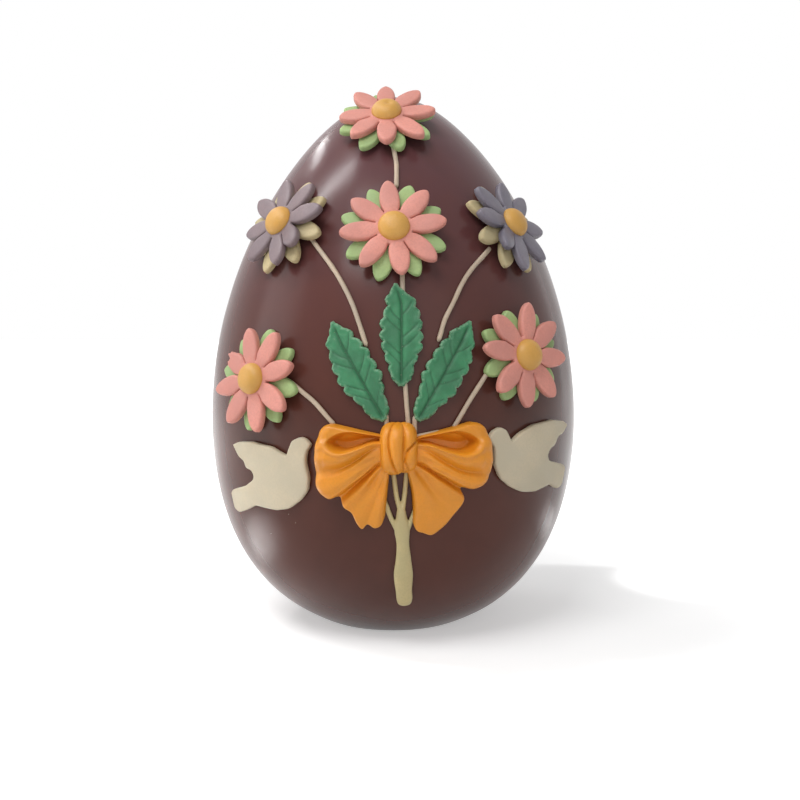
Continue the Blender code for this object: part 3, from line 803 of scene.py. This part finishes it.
def build_leaf(node, hook, seed):
    """A scalloped leaf with pressed veins; gives where it lies."""
    leaf = leaf_axes(node, hook)
    at, _, _, length, half = leaf
    rng = random.Random(seed)

    def bent(s):
        return hook * MM * smooth((s - 0.75) / 0.25)

    s = np.linspace(0.0, 0.985, 240)
    sides = []
    for side in (-1, 1):
        phase = rng.uniform(-0.12, 0.12)
        lobes = np.abs(np.sin(np.pi * (LEAF_SCALLOPS * s ** 0.92 + phase))) ** 0.7
        size = 1 + 0.18 * np.sin(17 * s + 4 * side + seed)
        width = half / 1.05 * knots_at(LEAF_SHAPE, s) * (0.87 + 0.18 * lobes * size)
        spots = sheet(s * 40 * MM, np.full_like(s, side * MM), seed * MM)
        width += 0.22 * MM * lumps(spots, 0.8 * MM, seed) * smooth(width / (1.5 * MM))
        sides.append(np.stack([side * width + bent(s), (s - 0.5) * length], 1))
    outline = np.concatenate([sides[0], sides[1][::-1]])

    def veins(x, y):
        """Depth shares of the midrib and of the oblique side veins."""
        s = y / length + 0.5
        from_rib = x - bent(s)
        rib = np.exp(-(from_rib / (0.42 * MM)) ** 2) * smooth(s / 0.06) \
            * smooth((0.97 - s) / 0.1)
        across = np.abs(from_rib) / np.maximum(half * knots_at(LEAF_SHAPE, s), 0.1 * MM)
        oblique = np.zeros_like(x)
        for i, start in enumerate(SIDE_VEINS):
            shift = 0.03 * np.where(x > 0, 1, -1) * (1 if i % 2 else -1)
            line = start + shift + 0.19 * across ** 1.25
            gap = (s - line) * length * 0.8
            fade = smooth(across / 0.12) * smooth((0.86 - across) / 0.2)
            oblique = np.maximum(oblique, np.exp(-(gap / (0.36 * MM)) ** 2) * fade)
        return rib, oblique

    def shape(x, y, deep):
        rib, oblique = veins(x, y)
        spots = sheet(x, y, seed * MM)
        puff = 0.35 * MM * smooth(deep / (2.2 * MM)) * smooth(np.abs(x) / (1.5 * MM))
        frill = 0.45 * MM * bump(deep, 0.8 * MM, 1.2 * MM)
        crust = 0.30 * MM * lumps(spots, 0.9 * MM, seed) * smooth(1 - deep / (1.6 * MM))
        uneven = 0.12 * MM * lumps(spots, 2.4 * MM, seed + 3)
        return puff + frill + crust + uneven - 0.62 * MM * rib - 0.38 * MM * oblique - 0.3 * MM

    def shares(x, y, deep):
        rib, oblique = veins(x, y)
        # vein marks where painted shade darkens the grooves
        return {"rim": smooth(1 - deep / (1.1 * MM)),
                "vein": np.clip(rib + 0.75 * oblique, 0, 1)}

    def place(x, y, h):
        edge = np.abs(x) / half
        uneven = 0.6 + lumps(sheet(x, y, seed * MM), 4 * MM, seed + 9)
        lift = 0.5 * MM * smooth((edge - 0.55) / 0.45) * uneven
        return wrap(at, *leaf_point(leaf, x, y), h + np.maximum(lift, 0) + 0.1 * MM)

    piece = slab(node + "_cutout", outline, place, LEAF, LEAF_THICK, 0.55, 0.3, 0.42,
                 shape, shares)
    finish_piece(piece, "leaf", node)
    return leaf


def build_dove(node, seed):
    """A flat cut-out dove that follows the egg."""
    at = under(box_middle(node))
    flat = [unwrap(at, p) for p in top_outline(node)]
    outline = softened(resample([(x, y, 0) for x, y in flat], 0.35 * MM)[:, :2], 7)

    def shape(x, y, deep):
        spots = sheet(x, y, seed * MM)
        return 0.10 * MM * lumps(spots, 6 * MM, seed) + 0.03 * MM * lumps(spots, 1.5 * MM, seed)

    def place(x, y, h):
        return wrap(at, x, y, h + 0.12 * MM)

    piece = slab(node + "_cutout", outline, place, WHITE, DOVE_THICK, 0.75, 0.4, 0.9, shape)
    finish_piece(piece, "white", node)


# ---------------------------------------------------------------- bow

# down each wing: the share of the way down its fan, and in mm the outer edge's x and y and
# the height of the crown
WING_LEFT = (
    (0.00, -21.8, 7.9, 4.0), (0.05, -23.6, 7.3, 5.4), (0.10, -24.8, 6.2, 5.8),
    (0.21, -25.9, 3.4, 6.4), (0.35, -26.5, -0.5, 8.4), (0.465, -26.6, -4.5, 5.6),
    (0.55, -26.6, -8.5, 7.2), (0.63, -26.0, -13.0, 7.6), (0.71, -22.6, -16.6, 6.8),
    (0.785, -19.0, -16.7, 3.0), (0.83, -17.3, -19.4, 4.9), (0.875, -14.8, -21.8, 4.0),
    (0.905, -13.2, -25.2, 4.2), (0.925, -11.6, -27.0, 3.8), (0.945, -10.0, -25.4, 3.6),
    (0.972, -7.2, -26.2, 4.8), (0.99, -5.2, -25.0, 4.4), (1.00, -4.3, -22.6, 3.8))
WING_RIGHT = (
    (0.00, 24.0, 8.3, 4.0), (0.05, 26.0, 7.9, 5.4), (0.10, 27.6, 7.0, 5.8),
    (0.21, 29.4, 3.7, 6.4), (0.35, 30.4, -1.0, 8.4), (0.465, 30.4, -5.6, 5.7),
    (0.54, 30.0, -9.0, 7.2), (0.60, 28.4, -11.4, 7.6), (0.68, 24.6, -13.5, 6.8),
    (0.755, 20.6, -13.9, 3.0), (0.80, 21.2, -17.2, 4.6), (0.86, 17.8, -22.4, 4.2),
    (0.92, 13.4, -26.8, 4.8), (0.95, 10.4, -28.7, 4.9), (0.975, 7.8, -28.0, 4.6),
    (0.99, 5.6, -27.2, 4.2), (1.00, 4.7, -25.0, 3.6))
# creases that run out from the knot: share down the fan, depth in mm, where each begins
# and fades outward, and its half width as a share of the fan
CREASES_LEFT = ((0.61, 0.9, 0.14, 0.72, 0.030), (0.70, 1.1, 0.12, 0.66, 0.026),
                (0.775, 1.3, 0.10, 1.30, 0.022), (0.87, 0.9, 0.14, 1.05, 0.026))
CREASES_RIGHT = ((0.60, 0.9, 0.14, 0.75, 0.030), (0.675, 1.1, 0.12, 0.72, 0.026),
                 (0.745, 1.4, 0.10, 1.30, 0.022), (0.855, 1.1, 0.12, 1.10, 0.030))
# how far down the fan the loop's front rim sags, along the way out from the knot
LOOP_SAG = ((0, -0.13), (0.1, -0.11), (0.35, 0.05), (0.6, 0.12), (0.8, 0.095), (1, 0.04))
LOOP_BACK, LOOP_FLOOR = 3.4, 0.8    # heights in mm inside the loop, from back to front
RIM_RISE = 1.3              # how far in mm the loop's front rim stands above its folds
OUTER_CROWN = 6.6           # height in mm of the loop's smooth outer turn
TURN_TO = 0.62              # share down the fan at which that turn ends
TAIL_FROM = {-1: 0.785, 1: 0.755}   # share down the fan at which the tail starts, by side
LOOP_EDGE, TAIL_EDGE = 3.6, 0.9     # how far in from the outline the wing rolls under, in mm
KNOT_HALF = (6.1, 8.6)      # half width and half height in mm
KNOT_HEIGHT = 10.6
ROOT_SHARE = 0.72           # the wings start inside the knot
WING_ROOT = {-1: (5.6, -6.9), 1: (4.6, -7.4)}   # top and bottom of each root in mm
WING_ROOT_HEIGHT = 5.6


def folds_at(knots, v):
    """Crown heights down a wing: rounded ridges with slightly sharper valleys between."""
    found = np.full(v.shape, float(knots[-1][1]))
    for (low, first), (high, second) in reversed(list(zip(knots, knots[1:]))):
        t = np.clip((v - low) / (high - low), 0, 1)
        rise = 1 - (1 - t) ** 2 if second > first else t ** 2
        share = 0.65 * smooth(t) + 0.35 * rise
        found = np.where(v <= high, first + (second - first) * share, found)
    return found


def sagged(u, v):
    """The share down the fan at which a wing's folds are read, where its loop sags."""
    free = smooth(v / 0.26) * smooth((0.77 - v) / 0.27)
    return v - line_at(LOOP_SAG, u) * free


def ribbon_height(u, v, crown, creases):
    """Top of a wing in mm: u runs outward from the knot and v down the fan."""
    found = folds_at(crown, sagged(u, v))
    found = WING_ROOT_HEIGHT + (found - WING_ROOT_HEIGHT) * (0.12 + 0.88 * smooth(u / 0.40))
    # the outer turn of the loop is smooth: its folds run out before the edge
    outer = smooth((u - 0.80) / 0.16) * smooth((TURN_TO - v) / 0.10)
    found = found + (OUTER_CROWN - found) * outer
    for middle, depth, begin, fade, half in creases:
        drift = middle + 0.012 * np.sin(5 * u + 20 * middle)
        across = np.exp(-((v - drift) / (half * (2.0 - 1.15 * smooth(u / 0.6)))) ** 2)
        along = smooth((u - begin + 0.06) / 0.12) * (1 - smooth((u - begin) / (fade - begin)))
        found = found - depth * across * along
    # the hollow of the loop: eye-shaped, with a back wall that slopes down to the front rim
    down = (sagged(u, v) - 0.155) / 0.115
    outward = np.maximum(u - 0.46, 0) / 0.35
    share = np.sqrt(down ** 2 + outward ** 2)
    rim = np.exp(-((share - 1.22) / 0.24) ** 2) * smooth((u - 0.06) / 0.16)
    found = found + RIM_RISE * rim * smooth((down + 0.3) / 0.5)
    hollow = smooth((1.04 - share) / 0.22) * smooth((u - 0.03) / 0.12)
    inside = LOOP_BACK + (LOOP_FLOOR - LOOP_BACK) * smooth((down + 1) / 0.9)
    return found + np.minimum(inside - found, 0) * hollow


def build_wing(node, wing, creases, side, at):
    """One wing of the bow, a loop with its tail: side is -1 for the left and 1 for the right."""
    rows, tops, arc, lows = 210, 74, 16, 8
    v = np.linspace(0, 1, rows)[:, None]
    outer_x = line_at([(k[0], k[1]) for k in wing], v)
    outer_y = line_at([(k[0], k[2]) for k in wing], v)
    high, low = WING_ROOT[side]
    root_y = (high + (low - high) * v) * ROOT_SHARE
    share = np.clip(root_y / (KNOT_HALF[1] * ROOT_SHARE), -0.98, 0.98)
    root_x = side * KNOT_HALF[0] * ROOT_SHARE * np.sqrt(1 - share ** 2)
    length = np.hypot(outer_x - root_x, outer_y - root_y)
    tail = smooth((v - TAIL_FROM[side] + 0.012) / 0.024)
    crown = [(k[0], k[3]) for k in wing]
    edge = LOOP_EDGE + (TAIL_EDGE - LOOP_EDGE) * tail
    inner = 1 - edge / length
    us = np.linspace(0, 1, tops)[None, :] * inner
    top_heights = ribbon_height(us, v, crown, creases)
    # the folds are soft, most of all where they crowd together at the knot
    ease = 0.04 + 0.40 * (1 - smooth(us / 0.40))
    for _ in range(40):
        nearby = np.concatenate([top_heights[:1], top_heights, top_heights[-1:]])
        top_heights += ease * ((nearby[:-2] + nearby[2:]) / 2 - top_heights)
    end_height = top_heights[:, -1:]
    low_height = 0.15 + (np.maximum(end_height - 1.9, 0.3) - 0.15) * tail
    turn = np.linspace(0, np.pi, arc + 1)[None, 1:]
    arc_u = inner + edge / length * np.sin(turn) ** 0.9
    half = (end_height - low_height) / 2
    arc_heights = low_height + half + half * np.sign(np.cos(turn)) * np.abs(np.cos(turn)) ** 0.9
    back = np.linspace(1, 0, lows + 1)[None, 1:]
    heights = np.concatenate(
        [top_heights, arc_heights, 0.1 + (low_height - 0.1) * back ** 0.5], 1)
    all_u = np.concatenate([us, arc_u, inner * back], 1)
    # both long edges of the fan are rounded over
    close = np.sqrt(1 - (1 - np.minimum(np.minimum(v, 1 - v) / 0.026, 1)) ** 2)
    centre = low_height * 0.6 + 0.2
    heights = centre + (heights - centre) * np.maximum(close, 0.12)
    bend = 1.0 * np.sin(np.pi * all_u) * smooth((v - 0.8) / 0.2) if side > 0 else 0
    x = root_x + (outer_x - root_x) * all_u + bend
    y = root_y + (outer_y - root_y) * all_u
    places = wrap(at, x * MM, y * MM, heights * MM)
    soft = 0.12 * MM * lumps(places, 5 * MM, 4 + side)
    places = wrap(at, x * MM, y * MM, heights * MM + soft)
    count = all_u.shape[1]
    faces = ring_faces(rows, count)
    faces.append(tuple(range(count)))
    faces.append(tuple((rows - 1) * count + j for j in reversed(range(count))))
    piece = add_object(node + "_ribbon", places, faces, ORANGE)
    finish_piece(piece, "orange", node)


# the knot's creases from top to bottom, as y and x shares of its half sizes
CREASE_LEFT = ((0.95, -0.42), (0.38, -0.50), (-0.25, -0.38), (-0.87, -0.09))
CREASE_MIDDLE = ((0.90, 0.31), (0.12, 0.20), (-0.71, 0.23))
CREASE_LAP = ((0.43, 0.98), (0.01, 0.40), (-0.35, 0.27), (-0.84, 0.56))


def crease_x(crease, y):
    """Where a crease lies at heights y, both as shares of the knot's half sizes."""
    knots = sorted(crease)
    return line_at(knots, np.clip(y, knots[0][0], knots[-1][0]))


def build_knot(node, at):
    """Ribbon wrapped round the middle: four bulging turns with creases between."""
    rows, columns = 120, 110
    y = -np.cos(np.linspace(0, np.pi, rows))[:, None] * 0.995
    x = np.sin(np.linspace(-np.pi / 2, np.pi / 2, columns))[None, :]
    reach = (1 - np.abs(y) ** 3.6) ** (1 / 3.6)
    left, middle, lap = (crease_x(c, y) for c in (CREASE_LEFT, CREASE_MIDDLE, CREASE_LAP))
    across = x * np.ones_like(y)

    def turn_of_ribbon(start, end, lift):
        """Rounded across from one crease to the next."""
        t = np.clip((across - start) / np.maximum(end - start, 0.05), 0, 1)
        return np.where((across >= start) & (across <= end),
                        lift * (4 * t * (1 - t)) ** 0.5, 0.0)

    edge = np.ones_like(y)
    first = turn_of_ribbon(-edge - 0.25, left, 0.9)
    second = turn_of_ribbon(left, middle, 1.0)
    third = turn_of_ribbon(middle, edge + 0.3, 0.92)
    third *= 1 - 0.6 * np.exp(-((across - lap) / 0.10) ** 2) * smooth((0.55 - y) / 0.15)
    overlap = turn_of_ribbon(lap, edge + 0.30, 1.06)
    bulge = np.maximum(np.maximum(first, second), third)
    bulge = np.where((across >= lap) & (y < 0.43), overlap, bulge)
    body = (1 - np.abs(across) ** 3.2) ** 0.42 * (1 - np.abs(y) ** 3.0) ** 0.42
    height = KNOT_HEIGHT * body * (0.76 + 0.24 * bulge)
    height = np.maximum(height, 0.4)
    out_x = across * reach * (KNOT_HALF[0] + 0.35 * (bulge - 0.6))
    out_y = y * (KNOT_HALF[1] + 0.25 * (bulge - 0.6) - 0.7 * smooth((across + 0.1) / 0.2)
                 * smooth(-y / 0.4))
    places = wrap(at, out_x * MM, out_y * MM, height * MM)
    low = wrap(at, out_x * 0.9 * MM, out_y * 0.9 * MM, 0.1 * MM + 0 * height)
    count = rows * columns
    verts = np.concatenate([places.reshape(-1, 3), low.reshape(-1, 3)])
    faces = []
    for i in range(rows - 1):
        for j in range(columns - 1):
            a, b = i * columns + j, (i + 1) * columns + j
            faces.append((a, a + 1, b + 1, b))
            faces.append((count + b, count + b + 1, count + a + 1, count + a))
    border = list(range(columns))
    border += [i * columns + columns - 1 for i in range(1, rows)]
    border += [(rows - 1) * columns + j for j in range(columns - 2, -1, -1)]
    border += [i * columns for i in range(rows - 2, 0, -1)]
    for k, following in zip(border, border[1:] + border[:1]):
        faces.append((following, k, k + count, following + count))
    finish_piece(add_object(node + "_ribbon", verts, faces, ORANGE), "orange", node)


# ---------------------------------------------------------------- stems

def roll(line, halves, heights, lift, sides):
    """Rings of a flattened round bar whose middle follows points on the egg."""
    turn = 2 * np.pi * np.arange(sides) / sides
    rings = []
    for i, p in enumerate(line):
        azimuth, z = under(p)
        foot = on_egg(azimuth, z)
        out = on_egg(azimuth, z, 1.0) - foot
        ahead = line[min(i + 1, len(line) - 1)] - line[max(i - 1, 0)]
        side = np.cross(ahead, out)
        side /= np.linalg.norm(side)
        middle = foot + out * (lift + heights[i] / 2)
        rings.append(middle + np.outer(np.cos(turn) * halves[i], side)
                     + np.outer(np.sin(turn) * heights[i] / 2, out))
    return np.array(rings)


def rolled_ends(count, reach=3):
    """Shares that close a bar of count rings to a blunt round end."""
    from_end = np.minimum(np.arange(count), np.arange(count)[::-1]) / reach
    return 0.2 + 0.8 * np.sqrt(1 - (1 - np.minimum(from_end, 1)) ** 2)


STEM_HALF = 0.80 * MM
STEM_SIDES, STALK_SIDES = 18, 20
SIDE_DROP = 1.9 * MM        # how far the side stem lies below its CAD node
FLOWER_NEAR = 21 * MM       # an end nearer than this to a flower's middle runs under it
UNDER_FLOWER, UNDER_OTHER = 4.8 * MM, 2.8 * MM


def build_stem(node, seed, flowers):
    """A thin rolled stem that runs on under its neighbours."""
    places = []
    for p in path_of(node):
        azimuth, z = under(p)
        if node == "stem_side":
            z -= SIDE_DROP
        places.append(on_egg(azimuth, z, 0.6 * MM))
    for last, before in ((0, 1), (-1, -2)):
        while len(places) > 3 and np.linalg.norm(places[last] - places[before]) < 3 * MM:
            places.pop(before)
        away = places[last] - places[before]
        at_flower = min(np.linalg.norm(places[last] - f) for f in flowers) < FLOWER_NEAR
        reach = UNDER_FLOWER if at_flower else UNDER_OTHER
        end = places[last] + away / np.linalg.norm(away) * reach
        places.insert(0 if last == 0 else len(places), end)
        places = [np.array(p) for p in places]
    line = along_path(places, 0.5 * MM)
    wide = [STEM_HALF * (1 + 0.09 * noise.noise(Vector(p) / (4 * MM) + Vector((seed, 0, 0))))
            for p in line] * rolled_ends(len(line))
    rings = roll(line, wide, 1.9 * wide, -0.05 * MM, STEM_SIDES)
    faces = bar_faces(len(rings), STEM_SIDES)
    finish_piece(add_object(node + "_roll", rings, faces, STEM), "stem", node)


# the gathered stalk up from its foot: degrees round the egg and mm up it, half width and
# thickness in mm; then degrees and mm along the four strands that run into it
TRUNK = ((0.0, 0.4, 1.7, 1.8), (-0.1, 3.4, 2.6, 2.8), (-0.7, 9.2, 2.9, 3.2),
         (-1.0, 15.2, 3.3, 3.4), (-1.1, 20.2, 2.7, 3.1), (-1.4, 26.2, 2.2, 2.8),
         (-1.7, 30.6, 2.6, 2.6), (-1.9, 35.2, 1.8, 2.2), (-2.0, 38.6, 1.2, 1.8))
TRUNK_LINES = (
    ((-4.2, 50.6), (-3.3, 42.2), (-2.4, 37.4), (-1.9, 33.6)),
    ((-0.5, 50.6), (-0.9, 43.8), (-1.4, 38.4), (-1.8, 33.6)),
    ((-8.0, 43.4), (-6.5, 39.8), (-4.8, 34.2), (-2.9, 29.4), (-1.7, 25.2)),
    ((4.4, 47.4), (3.6, 43.6), (2.3, 38.2), (0.6, 32.2), (-0.5, 28.4), (-1.1, 25.2)))
STRAND_HALF = 0.85 * MM


def build_stalk(node):
    """Stems pressed into one another below the bow, with the joins melted away."""
    found = points_of(node)
    low = found[found[:, 2] < found[:, 2].min() + 1 * MM].mean(0)
    azimuth, z = under(low)

    def point(turn, rise):
        return on_egg(azimuth + math.radians(turn), z + rise * MM, 0.5 * MM)

    verts, faces = [], []

    def add_bar(line, halves, heights):
        first = sum(len(v) for v in verts)
        rings = roll(line, halves, heights, -0.1 * MM, STALK_SIDES)
        verts.append(rings.reshape(-1, 3))
        faces.extend(bar_faces(len(rings), STALK_SIDES, first))

    line = along_path([point(t, r) for t, r, _, _ in TRUNK], 0.6 * MM)
    s = np.linspace(0, 1, len(line))
    places = np.cumsum([0] + [r1 - r0 for (_, r0, _, _), (_, r1, _, _) in zip(TRUNK, TRUNK[1:])])
    places = places / places[-1]
    halves = line_at([(p, k[2]) for p, k in zip(places, TRUNK)], s) * MM
    heights = line_at([(p, k[3]) for p, k in zip(places, TRUNK)], s) * MM
    ends = rolled_ends(len(line), 4)
    add_bar(line, halves * ends, heights * ends)
    for path in TRUNK_LINES:
        line = along_path([point(t, r) for t, r in path], 0.6 * MM)
        ends = rolled_ends(len(line))
        add_bar(line, STRAND_HALF * ends, 2 * STRAND_HALF * ends)
    made = add_object(node + "_roll", np.concatenate(verts), faces, STALK)
    remesh = made.modifiers.new("Joined", "REMESH")
    remesh.mode = "VOXEL"
    remesh.voxel_size = 0.22 * MM
    remesh.use_smooth_shade = True
    melt = made.modifiers.new("Melted", "SMOOTH")
    melt.factor = 0.5
    melt.iterations = 7
    finish_piece(made, "stem", node)


# ---------------------------------------------------------------- specks

def scatter(name, spots, sizes, material, slot, seed):
    """Tiny rough grains at (azimuth, height on the egg, height above it) places."""
    rng = random.Random(seed)
    verts, faces = [], []
    for (azimuth, z, above), size in zip(spots, sizes):
        middle = on_egg(azimuth, z, above)
        grain = bmesh.new()
        bmesh.ops.create_icosphere(grain, subdivisions=1, radius=1.0)
        stretch = [rng.uniform(0.6, 1.1) for _ in range(3)]
        first = len(verts)
        for v in grain.verts:
            wobble = rng.uniform(0.75, 1.1)
            verts.append(middle + np.array([c * k * wobble * size for c, k in zip(v.co, stretch)]))
        for f in grain.faces:
            faces.append([first + v.index for v in f.verts])
        grain.free()
    finish_piece(add_object(name, verts, faces, material), slot)


def build_specks(leaves):
    """Crumbs on the leaves, and three on the chocolate below the left dove."""
    rng = random.Random(5)
    spots, sizes = [], []
    for leaf in leaves:
        at, _, _, length, half = leaf
        for _ in range(26):
            s = rng.uniform(0.08, 0.9)
            x = rng.uniform(-0.9, 0.9) * half * float(knots_at(LEAF_SHAPE, s))
            y = (s - 0.5) * length
            azimuth, z = under(wrap(at, *leaf_point(leaf, x, y), 0.0))
            spots.append((azimuth, z, LEAF_THICK + 0.05 * MM))
            sizes.append(rng.uniform(0.05, 0.11) * MM)
    scatter("leaf_specks", spots, sizes, CRUMB, "cream", 6)
    azimuth, z = under(box_middle("dove_left"))
    spots, sizes = [], []
    for across, down in ((8.0, 12.6), (10.6, 15.4), (-3.0, 21.0)):
        spots.append((azimuth + across * MM / float(egg_radius(z)), z - down * MM, 0.0))
        sizes.append(rng.uniform(0.14, 0.2) * MM)
    scatter("chocolate_specks", spots, sizes, CRUMB, "cream", 7)


# ---------------------------------------------------------------- room

def seen_rays(tree):
    """1 for camera, glossy and transmission rays and 0 for the rest."""
    path = tree.nodes.new("ShaderNodeLightPath")
    seen = path.outputs["Is Camera Ray"]
    for title in ("Is Glossy Ray", "Is Transmission Ray"):
        seen = combined(tree, "MAXIMUM", seen, path.outputs[title])
    return seen


def white_for_sight(tree, base, strength):
    """A shader that also glows for the rays that see it."""
    amount = combined(tree, "MULTIPLY", seen_rays(tree), strength)
    glow = tree.nodes.new("ShaderNodeEmission")
    tree.links.new(amount, glow.inputs["Strength"])
    both = tree.nodes.new("ShaderNodeAddShader")
    tree.links.new(base, both.inputs[0])
    tree.links.new(glow.outputs["Emission"], both.inputs[1])
    return both.outputs["Shader"]


FLOOR_HALF = 3.0            # metres
GLOW_FROM, GLOW_TO = 0.10, 0.45     # metres from the egg's middle
GLOW_NEAR = 0.40
FILL = 0.34                 # how strongly the white room lights what stands in it


def build_floor():
    """Pale floor: lit by the lamps near the egg, and evenly white further away."""
    data = bpy.data.meshes.new("floor")
    corners = [(x * FLOOR_HALF, y * FLOOR_HALF, 0) for x, y in ((-1, -1), (1, -1), (1, 1), (-1, 1))]
    data.from_pydata(corners, [], [(0, 1, 2, 3)])
    made, tree, shader = new_material("floor")
    shader.inputs["Base Color"].default_value = (0.85, 0.85, 0.85, 1)
    shader.inputs["Roughness"].default_value = 0.9
    shader.inputs["Specular IOR Level"].default_value = 0.1
    coords = tree.nodes.new("ShaderNodeTexCoord")
    length = tree.nodes.new("ShaderNodeVectorMath")
    length.operation = "LENGTH"
    tree.links.new(coords.outputs["Object"], length.inputs[0])
    glow = ranged(tree, length.outputs["Value"], GLOW_FROM, GLOW_TO, GLOW_NEAR, 1.0)
    out = tree.nodes["Material Output"]
    tree.links.new(white_for_sight(tree, shader.outputs["BSDF"], glow), out.inputs["Surface"])
    data.materials.append(made)
    floor = put("floor", data)


def build_world():
    """White where it is seen and reflected, a plain fill light otherwise."""
    world = bpy.data.worlds.new("studio")
    world.use_nodes = True
    bpy.context.scene.world = world
    tree = world.node_tree
    strength = tree.nodes.new("ShaderNodeMapRange")
    tree.links.new(seen_rays(tree), strength.inputs["Value"])
    strength.inputs["To Min"].default_value = FILL
    strength.inputs["To Max"].default_value = 1.0
    background = tree.nodes["Background"]
    background.inputs["Color"].default_value = (1, 1, 1, 1)
    tree.links.new(strength.outputs["Result"], background.inputs["Strength"])


EGG_MIDDLE = Vector((0, 0, 0.095))


def add_lamp(name, azimuth, elevation, distance, size, radiance, lean=0.0):
    """A white soft box turned to the egg: radiance 1 would look just white.

    Azimuth runs from the front toward +X and elevation up from the horizon, in degrees.
    """
    data = bpy.data.lights.new(name, "AREA")
    data.shape = "RECTANGLE"
    data.size, data.size_y = size
    data.energy = radiance * math.pi * size[0] * size[1]
    a, e = math.radians(azimuth), math.radians(elevation)
    away = Vector((math.sin(a) * math.cos(e), -math.cos(a) * math.cos(e), math.sin(e)))
    lamp = put(name, data)
    lamp.location = EGG_MIDDLE + away * distance
    lamp.rotation_euler = (-away).to_track_quat("-Z", "Y").to_euler()
    lamp.rotation_euler.rotate_axis("Z", math.radians(lean))


def add_spot(name, place, width, level):
    """A spot that shines straight down on the floor beside the egg: width in degrees."""
    data = bpy.data.lights.new(name, "SPOT")
    data.spot_size = math.radians(width)
    data.spot_blend = 0.9
    data.shadow_soft_size = 0.01
    # a lamp of 4 pi squared times its height squared lights white paper to a level of 1
    data.energy = level * 4 * math.pi ** 2 * place[2] ** 2
    put(name, data).location = place


def build_lamps():
    add_lamp("key", -24, 52, 1.1, (0.50, 0.50), 7.2)
    add_lamp("front", 16, 16, 1.5, (1.3, 1.1), 0.60)
    add_lamp("streak_high", -137, 41, 1.1, (0.40, 0.03), 26.0, 25)
    add_lamp("streak_side", -87, 55, 1.1, (0.50, 0.035), 75.0, 70)
    add_lamp("left_panel", -84, 14, 0.9, (0.45, 0.60), 2.0)
    add_lamp("right_strip", 132, 8, 1.2, (0.05, 0.6), 2.0)
    add_spot("floor_left", (-0.110, -0.015, 0.30), 15, 5.5)
    add_spot("floor_right", (0.135, 0.050, 0.30), 14, 2.2)


def build_camera():
    """From the front, a little above the egg's middle."""
    data = bpy.data.cameras.new("camera")
    data.sensor_width = 36
    data.lens = 51.89
    camera = put("camera", data)
    camera.location = (0, -0.4494, 0.12355)
    aim = Vector((0.0026, 0, 0.0841))
    camera.rotation_euler = (aim - camera.location).to_track_quat("-Z", "Y").to_euler()
    bpy.context.scene.camera = camera


def main():
    bpy.context.scene.view_settings.view_transform = "Standard"
    build_egg()
    for number, flower in enumerate(FLOWERS):
        build_flower(flower, number)
    leaves = [build_leaf(node, hook, 3 + i) for i, (node, hook) in enumerate(LEAVES.items())]
    for i, dove in enumerate(("dove_left", "dove_right")):
        build_dove(dove, 11 + i)
    knot_at = under(box_middle("bow_knot"))
    build_wing("bow_left", WING_LEFT, CREASES_LEFT, -1, knot_at)
    build_wing("bow_right", WING_RIGHT, CREASES_RIGHT, 1, knot_at)
    build_knot("bow_knot", knot_at)
    flowers = [flower_axes(flower)[0] for flower in FLOWERS]
    for i, stem in enumerate(STEMS):
        build_stem(stem, i, flowers)
    build_stalk("stalk")
    build_specks(leaves)
    build_floor()
    build_world()
    build_lamps()
    build_camera()


main()
